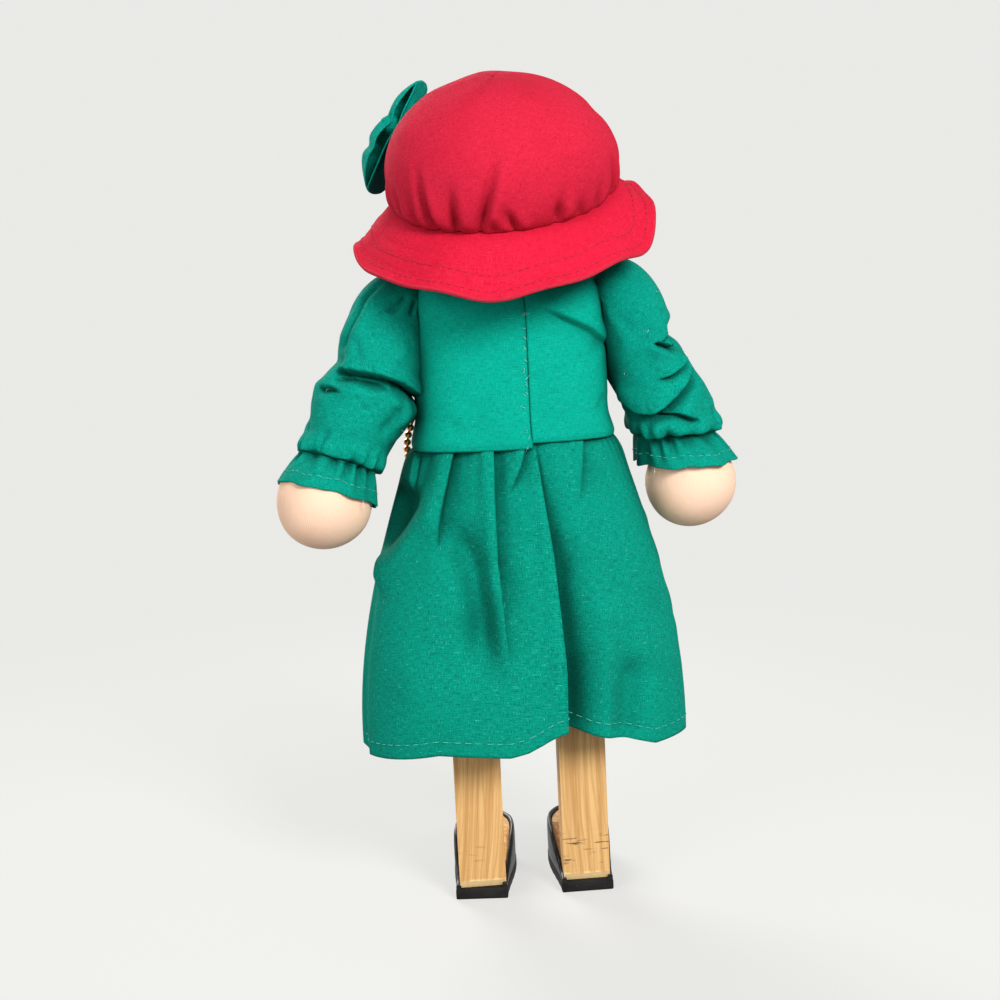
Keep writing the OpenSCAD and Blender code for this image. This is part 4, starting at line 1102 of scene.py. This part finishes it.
def painted_eye(name, cx):
    r, a = shares(10), around(36)
    xs, zs = cx + EYE_W * r * np.cos(a), EYE_Z + EYE_H * r * np.sin(a)
    high = 0.12 + 0.25 * np.sqrt(np.clip(1 - r ** 2, 0, 1)) + 0 * a
    high[-1] = -0.1
    pts = np.array([[on_face(x, z, h) for x, z, h in zip(*row)] for row in zip(xs, zs, high)])
    uv = np.stack([xs, zs], -1)
    place(surface(name, pts[::-1], uv[::-1], mat_eye), "head", "skin_knit")


painted_eye("left_eye", EYE_X)
painted_eye("right_eye", -EYE_X)
smile = [on_face(x, -13.2 + 0.045 * x * x, 0.1) for x in np.linspace(-5.2, 5.2, 21)]
place(tubes("mouth", [smile], 0.5, mat_mouth, 8), "head", "skin_knit")
for brow in (-1, 1):
    arch = [on_face(brow * x, 4.6 - 0.06 * (x - 8.4) ** 2, 0.1) for x in np.linspace(5.4, 11.2, 13)]
    place(tubes("left_brow" if brow > 0 else "right_brow", [arch], 0.32, mat_eye), "head", "skin_knit")


# Shoes

LEG_X, SHOE_BACK, SHOE_LEN, SOLE_H = 18.7, 6.0, 46.0, 4.0
WIDEST = 0.58
# Profiles from bottom to top: inset with share of the rim's height, inset with height
UPPER_PROFILE = [(0.2, 0.0), (0.15, 0.35), (0.15, 0.7), (0.25, 0.9), (0.55, 0.985), (1.0, 1.0), (1.5, 0.98),
                 (1.8, 0.9), (1.9, 0.6), (1.9, 0.0)]
SOLE_PROFILE = [(0.5, 0.0), (0.12, 0.25), (0.0, 0.8), (0.0, 3.2), (0.12, 3.8), (0.4, SOLE_H)]


def shoe_half(s):
    """Half width of a shoe at a share of its length from the heel."""
    early = lerp(18.6, 23.0, soft(s / WIDEST)) / 2
    late = 11.5 * np.sqrt(np.clip(1 - (np.clip(s - WIDEST, 0, None) / 0.42) ** 2.4, 0, 1))
    return np.where(s < WIDEST, early, late)


def shoe_line(inset):
    """Outline of a shoe from its heel round the toe."""
    s = np.sin(np.linspace(0, math.pi / 2, 60))
    half = np.maximum(shoe_half(s) - inset, 0)
    y = SHOE_BACK - s * (SHOE_LEN - inset)
    left = np.stack([LEG_X - half, y], -1)
    right = np.stack([LEG_X + half, y], -1)[::-1][1:]
    return np.concatenate([left, right])


def shoe_rim(y):
    return SOLE_H + lerp(1.2, 13.0, soft((SHOE_BACK - y) / (0.6 * SHOE_LEN)))


def shoe_grid(rows, degrees, side):
    """Rows from top to bottom, turned in at the toe and set on one side."""
    leg = np.array([LEG_X, 0.0, 0.0])
    p = ((np.array(rows[::-1]) - leg) @ turned("Z", -degrees).T + leg) * np.array([side, 1, 1])
    return p if side > 0 else p[:, ::-1]


for side_name, side, toe_in in (("left", 1, 6.0), ("right", -1, 0.0)):
    rows = []
    for inset, share in UPPER_PROFILE:
        line = shoe_line(inset)
        wobble = 0.12 * np.sin(line[:, 1] * 0.9 + line[:, 0]) * share
        rows.append(np.c_[line, lerp(SOLE_H, shoe_rim(line[:, 1]), share) + wobble])
    grid_p = shoe_grid(rows, toe_in, side)
    high, count = grid_p.shape[:2]
    uv = np.stack(np.meshgrid(np.arange(count) * 1.0, np.arange(high) * 1.0), -1)[:, ::side]
    heel = np.arange(high) * count
    faces = [*quads(high, count, False), heel, (heel + count - 1)[::-1]]
    upper = raw_mesh(f"{side_name}_shoe_side", grid_p.reshape(-1, 3), faces, uv.reshape(-1, 2), mat_shoe)
    place(upper, "torso", "shoe_black", f"{side_name}_shoe_upper")
    rows = []
    for inset, z in SOLE_PROFILE:
        line = shoe_line(inset)
        wobble = 0.12 * np.sin(line[:, 0] * 1.3 + line[:, 1]) * (0.2 < z < 3.9)
        rows.append(np.c_[line, z + wobble])
    points = shoe_grid(rows, toe_in, side).reshape(-1, 3)
    faces = [*quads(len(rows), count, True), *caps(len(rows), count)]
    sole = raw_mesh(f"{side_name}_shoe_sole", points, faces, points[:, :2], mat_sole)
    for face in sole.data.polygons:
        if len(face.vertices) > 4:
            face.use_smooth = False
    place(sole, "torso", "shoe_black", f"{side_name}_sole")


# Beads on their thread

BEAD_R, BEAD_PITCH, BEAD_ENDS = 1.3, 2.9, 5.2
BEAD_RINGS, BEAD_COLS = 14, 20
THREAD_D = 0.8
ROUTE = np.array([
    (32.9, -4.4, 173.2), (34.7, -5, 170.4), (36.4, -6.8, 165.5), (36.8, -10, 159), (34.4, -15.8, 152),
    (28, -21.8, 146), (18, -26, 141), (8, -28.2, 138.6), (-2, -28.6, 138.2), (-11, -27.8, 140),
    (-19, -25.8, 144), (-25, -22.8, 150), (-28.4, -20, 157), (-29.4, -18.8, 162.5), (-29.1, -17.6, 166),
    (-27.9, -15.4, 168.2),
])


def catmull(points, steps):
    """A smooth line through points."""
    out = []
    for i in range(len(points) - 1):
        a, b, c, d = (points[min(max(i + k, 0), len(points) - 1)] for k in (-1, 0, 1, 2))
        for k in range(steps):
            t = k / steps
            bent = (2 * a - 5 * b + 4 * c - d) * t * t
            out.append(0.5 * (2 * b + (c - a) * t + bent + (3 * b - a - 3 * c + d) * t ** 3))
    return np.array(out + [points[-1]])


swag = catmull(ROUTE, 6)
swag_run = length_along(swag)
count = int((swag_run[-1] - BEAD_ENDS) // BEAD_PITCH)
first = (swag_run[-1] - (count - 1) * BEAD_PITCH) / 2
unit = directions(BEAD_RINGS, BEAD_COLS, 0.05)[2].reshape(-1, 3)
bead_parts, bead_faces = [], []
for k in range(count):
    at = np.array([np.interp(first + k * BEAD_PITCH, swag_run, swag[:, c]) for c in range(3)])
    base = k * len(unit)
    bead_parts.append(at + unit * BEAD_R)
    bead_faces += [*quads(BEAD_RINGS, BEAD_COLS, True, base), *caps(BEAD_RINGS, BEAD_COLS, base)]
bead_verts = np.concatenate(bead_parts)
gold_beads = place(raw_mesh("gold_beads", bead_verts, bead_faces, bead_verts[:, :2], mat_gold), "torso",
                   "bead_gold", "beads")
curve = bpy.data.curves.new("bead_thread_line", "CURVE")
curve.dimensions = "3D"
curve.bevel_depth = THREAD_D / 2 * MM
curve.bevel_resolution = 2
spline = curve.splines.new("POLY")
spline.points.add(len(swag) - 1)
for point, at in zip(spline.points, swag):
    point.co = (*(at * MM), 1.0)
curve.materials.append(mat_bead_thread)
thread = bpy.data.objects.new("bead_thread_line", curve)
bpy.context.scene.collection.objects.link(thread)
place(thread, "torso", "bead_thread", "bead_string")


# Floor, light and camera

def paper(name, glow, near, far):
    """Pale paper with an even glow, from its share near the doll to its share far off."""
    m, t = begin(name)
    at = solid_place(t)
    tone = mix(t, times(t, noise(t, at, 3.0, 3.0), 0.3), rgb(214, 214, 211), rgb(208, 208, 205))
    away_by = add(t, "ShaderNodeVectorMath", {"operation": "LENGTH"}, i0=at).outputs["Value"]
    share = op(t, "MULTIPLY_ADD", step(t, away_by, 0.1, 0.55), far - near, near)
    matte = add(t, "ShaderNodeBsdfDiffuse", Color=tone)
    even = add(t, "ShaderNodeEmission", Color=glow, Strength=1.0)
    both = add(t, "ShaderNodeMixShader", i0=share, i1=matte.outputs[0], i2=even.outputs[0])
    add(t, "ShaderNodeOutputMaterial", i0=both.outputs[0])
    return m


PAPER = (0.82, 0.818, 0.796, 1.0)
bpy.ops.mesh.primitive_circle_add(vertices=96, radius=9.0, fill_type="NGON", location=(0, 0, -0.00005))
floor = bpy.context.object
floor.name = "floor"
floor.data.materials.append(paper("floor_paper", PAPER, 0.72, 1.0))
bpy.ops.mesh.primitive_uv_sphere_add(segments=64, ring_count=32, radius=8.8)
backdrop = bpy.context.object
backdrop.name = "backdrop"
backdrop.data.materials.append(paper("backdrop_paper", PAPER, 1.0, 1.0))
backdrop.visible_diffuse = False
backdrop.visible_shadow = False
floor.visible_diffuse = False

bpy.context.scene.view_settings.view_transform = "Standard"
world = bpy.data.worlds.new("studio")
bpy.context.scene.world = world
world.use_nodes = True
sky = world.node_tree.nodes["Background"].inputs
sky[0].default_value = (1.0, 1.0, 0.99, 1.0)
sky[1].default_value = 0.38


def area_light(name, at, target, size, watts):
    lamp = bpy.data.lights.new(name, "AREA")
    lamp.shape = "DISK"
    lamp.size = size
    lamp.energy = watts
    obj = bpy.data.objects.new(name, lamp)
    obj.location = at
    obj.rotation_euler = (Vector(target) - Vector(at)).to_track_quat("-Z", "Y").to_euler()
    bpy.context.scene.collection.objects.link(obj)


area_light("key", (-0.46, 0.86, 0.66), (0, 0, 0.17), 0.4, 13.9)
area_light("fill", (0.8, 0.8, 0.45), (0, 0, 0.15), 0.9, 6.4)
area_light("front", (0.45, -1.0, 0.75), (0, 0, 0.15), 0.7, 18.0)

AZIMUTH, PITCH, ROLL = math.radians(176.0), math.radians(8.0), math.radians(2.7)
EYE_FAR, EYE_HIGH = 0.483, 0.210
eye = Vector((math.sin(AZIMUTH) * EYE_FAR, -math.cos(AZIMUTH) * EYE_FAR, EYE_HIGH))
look = Vector((-math.sin(AZIMUTH) * math.cos(PITCH), math.cos(AZIMUTH) * math.cos(PITCH), -math.sin(PITCH)))
level = look.cross(Vector((0, 0, 1))).normalized()
upright = level.cross(look)
right = level * math.cos(ROLL) - upright * math.sin(ROLL)
upward = upright * math.cos(ROLL) + level * math.sin(ROLL)
lens = bpy.data.cameras.new("photo_view")
lens.sensor_width = 36.0
lens.lens = 50.4
lens.shift_x = -0.0165
lens.clip_start = 0.01
camera = bpy.data.objects.new("photo_view", lens)
basis = Matrix((right, upward, -look)).transposed().to_4x4()
basis.translation = eye
camera.matrix_world = basis
bpy.context.scene.collection.objects.link(camera)
bpy.context.scene.camera = camera
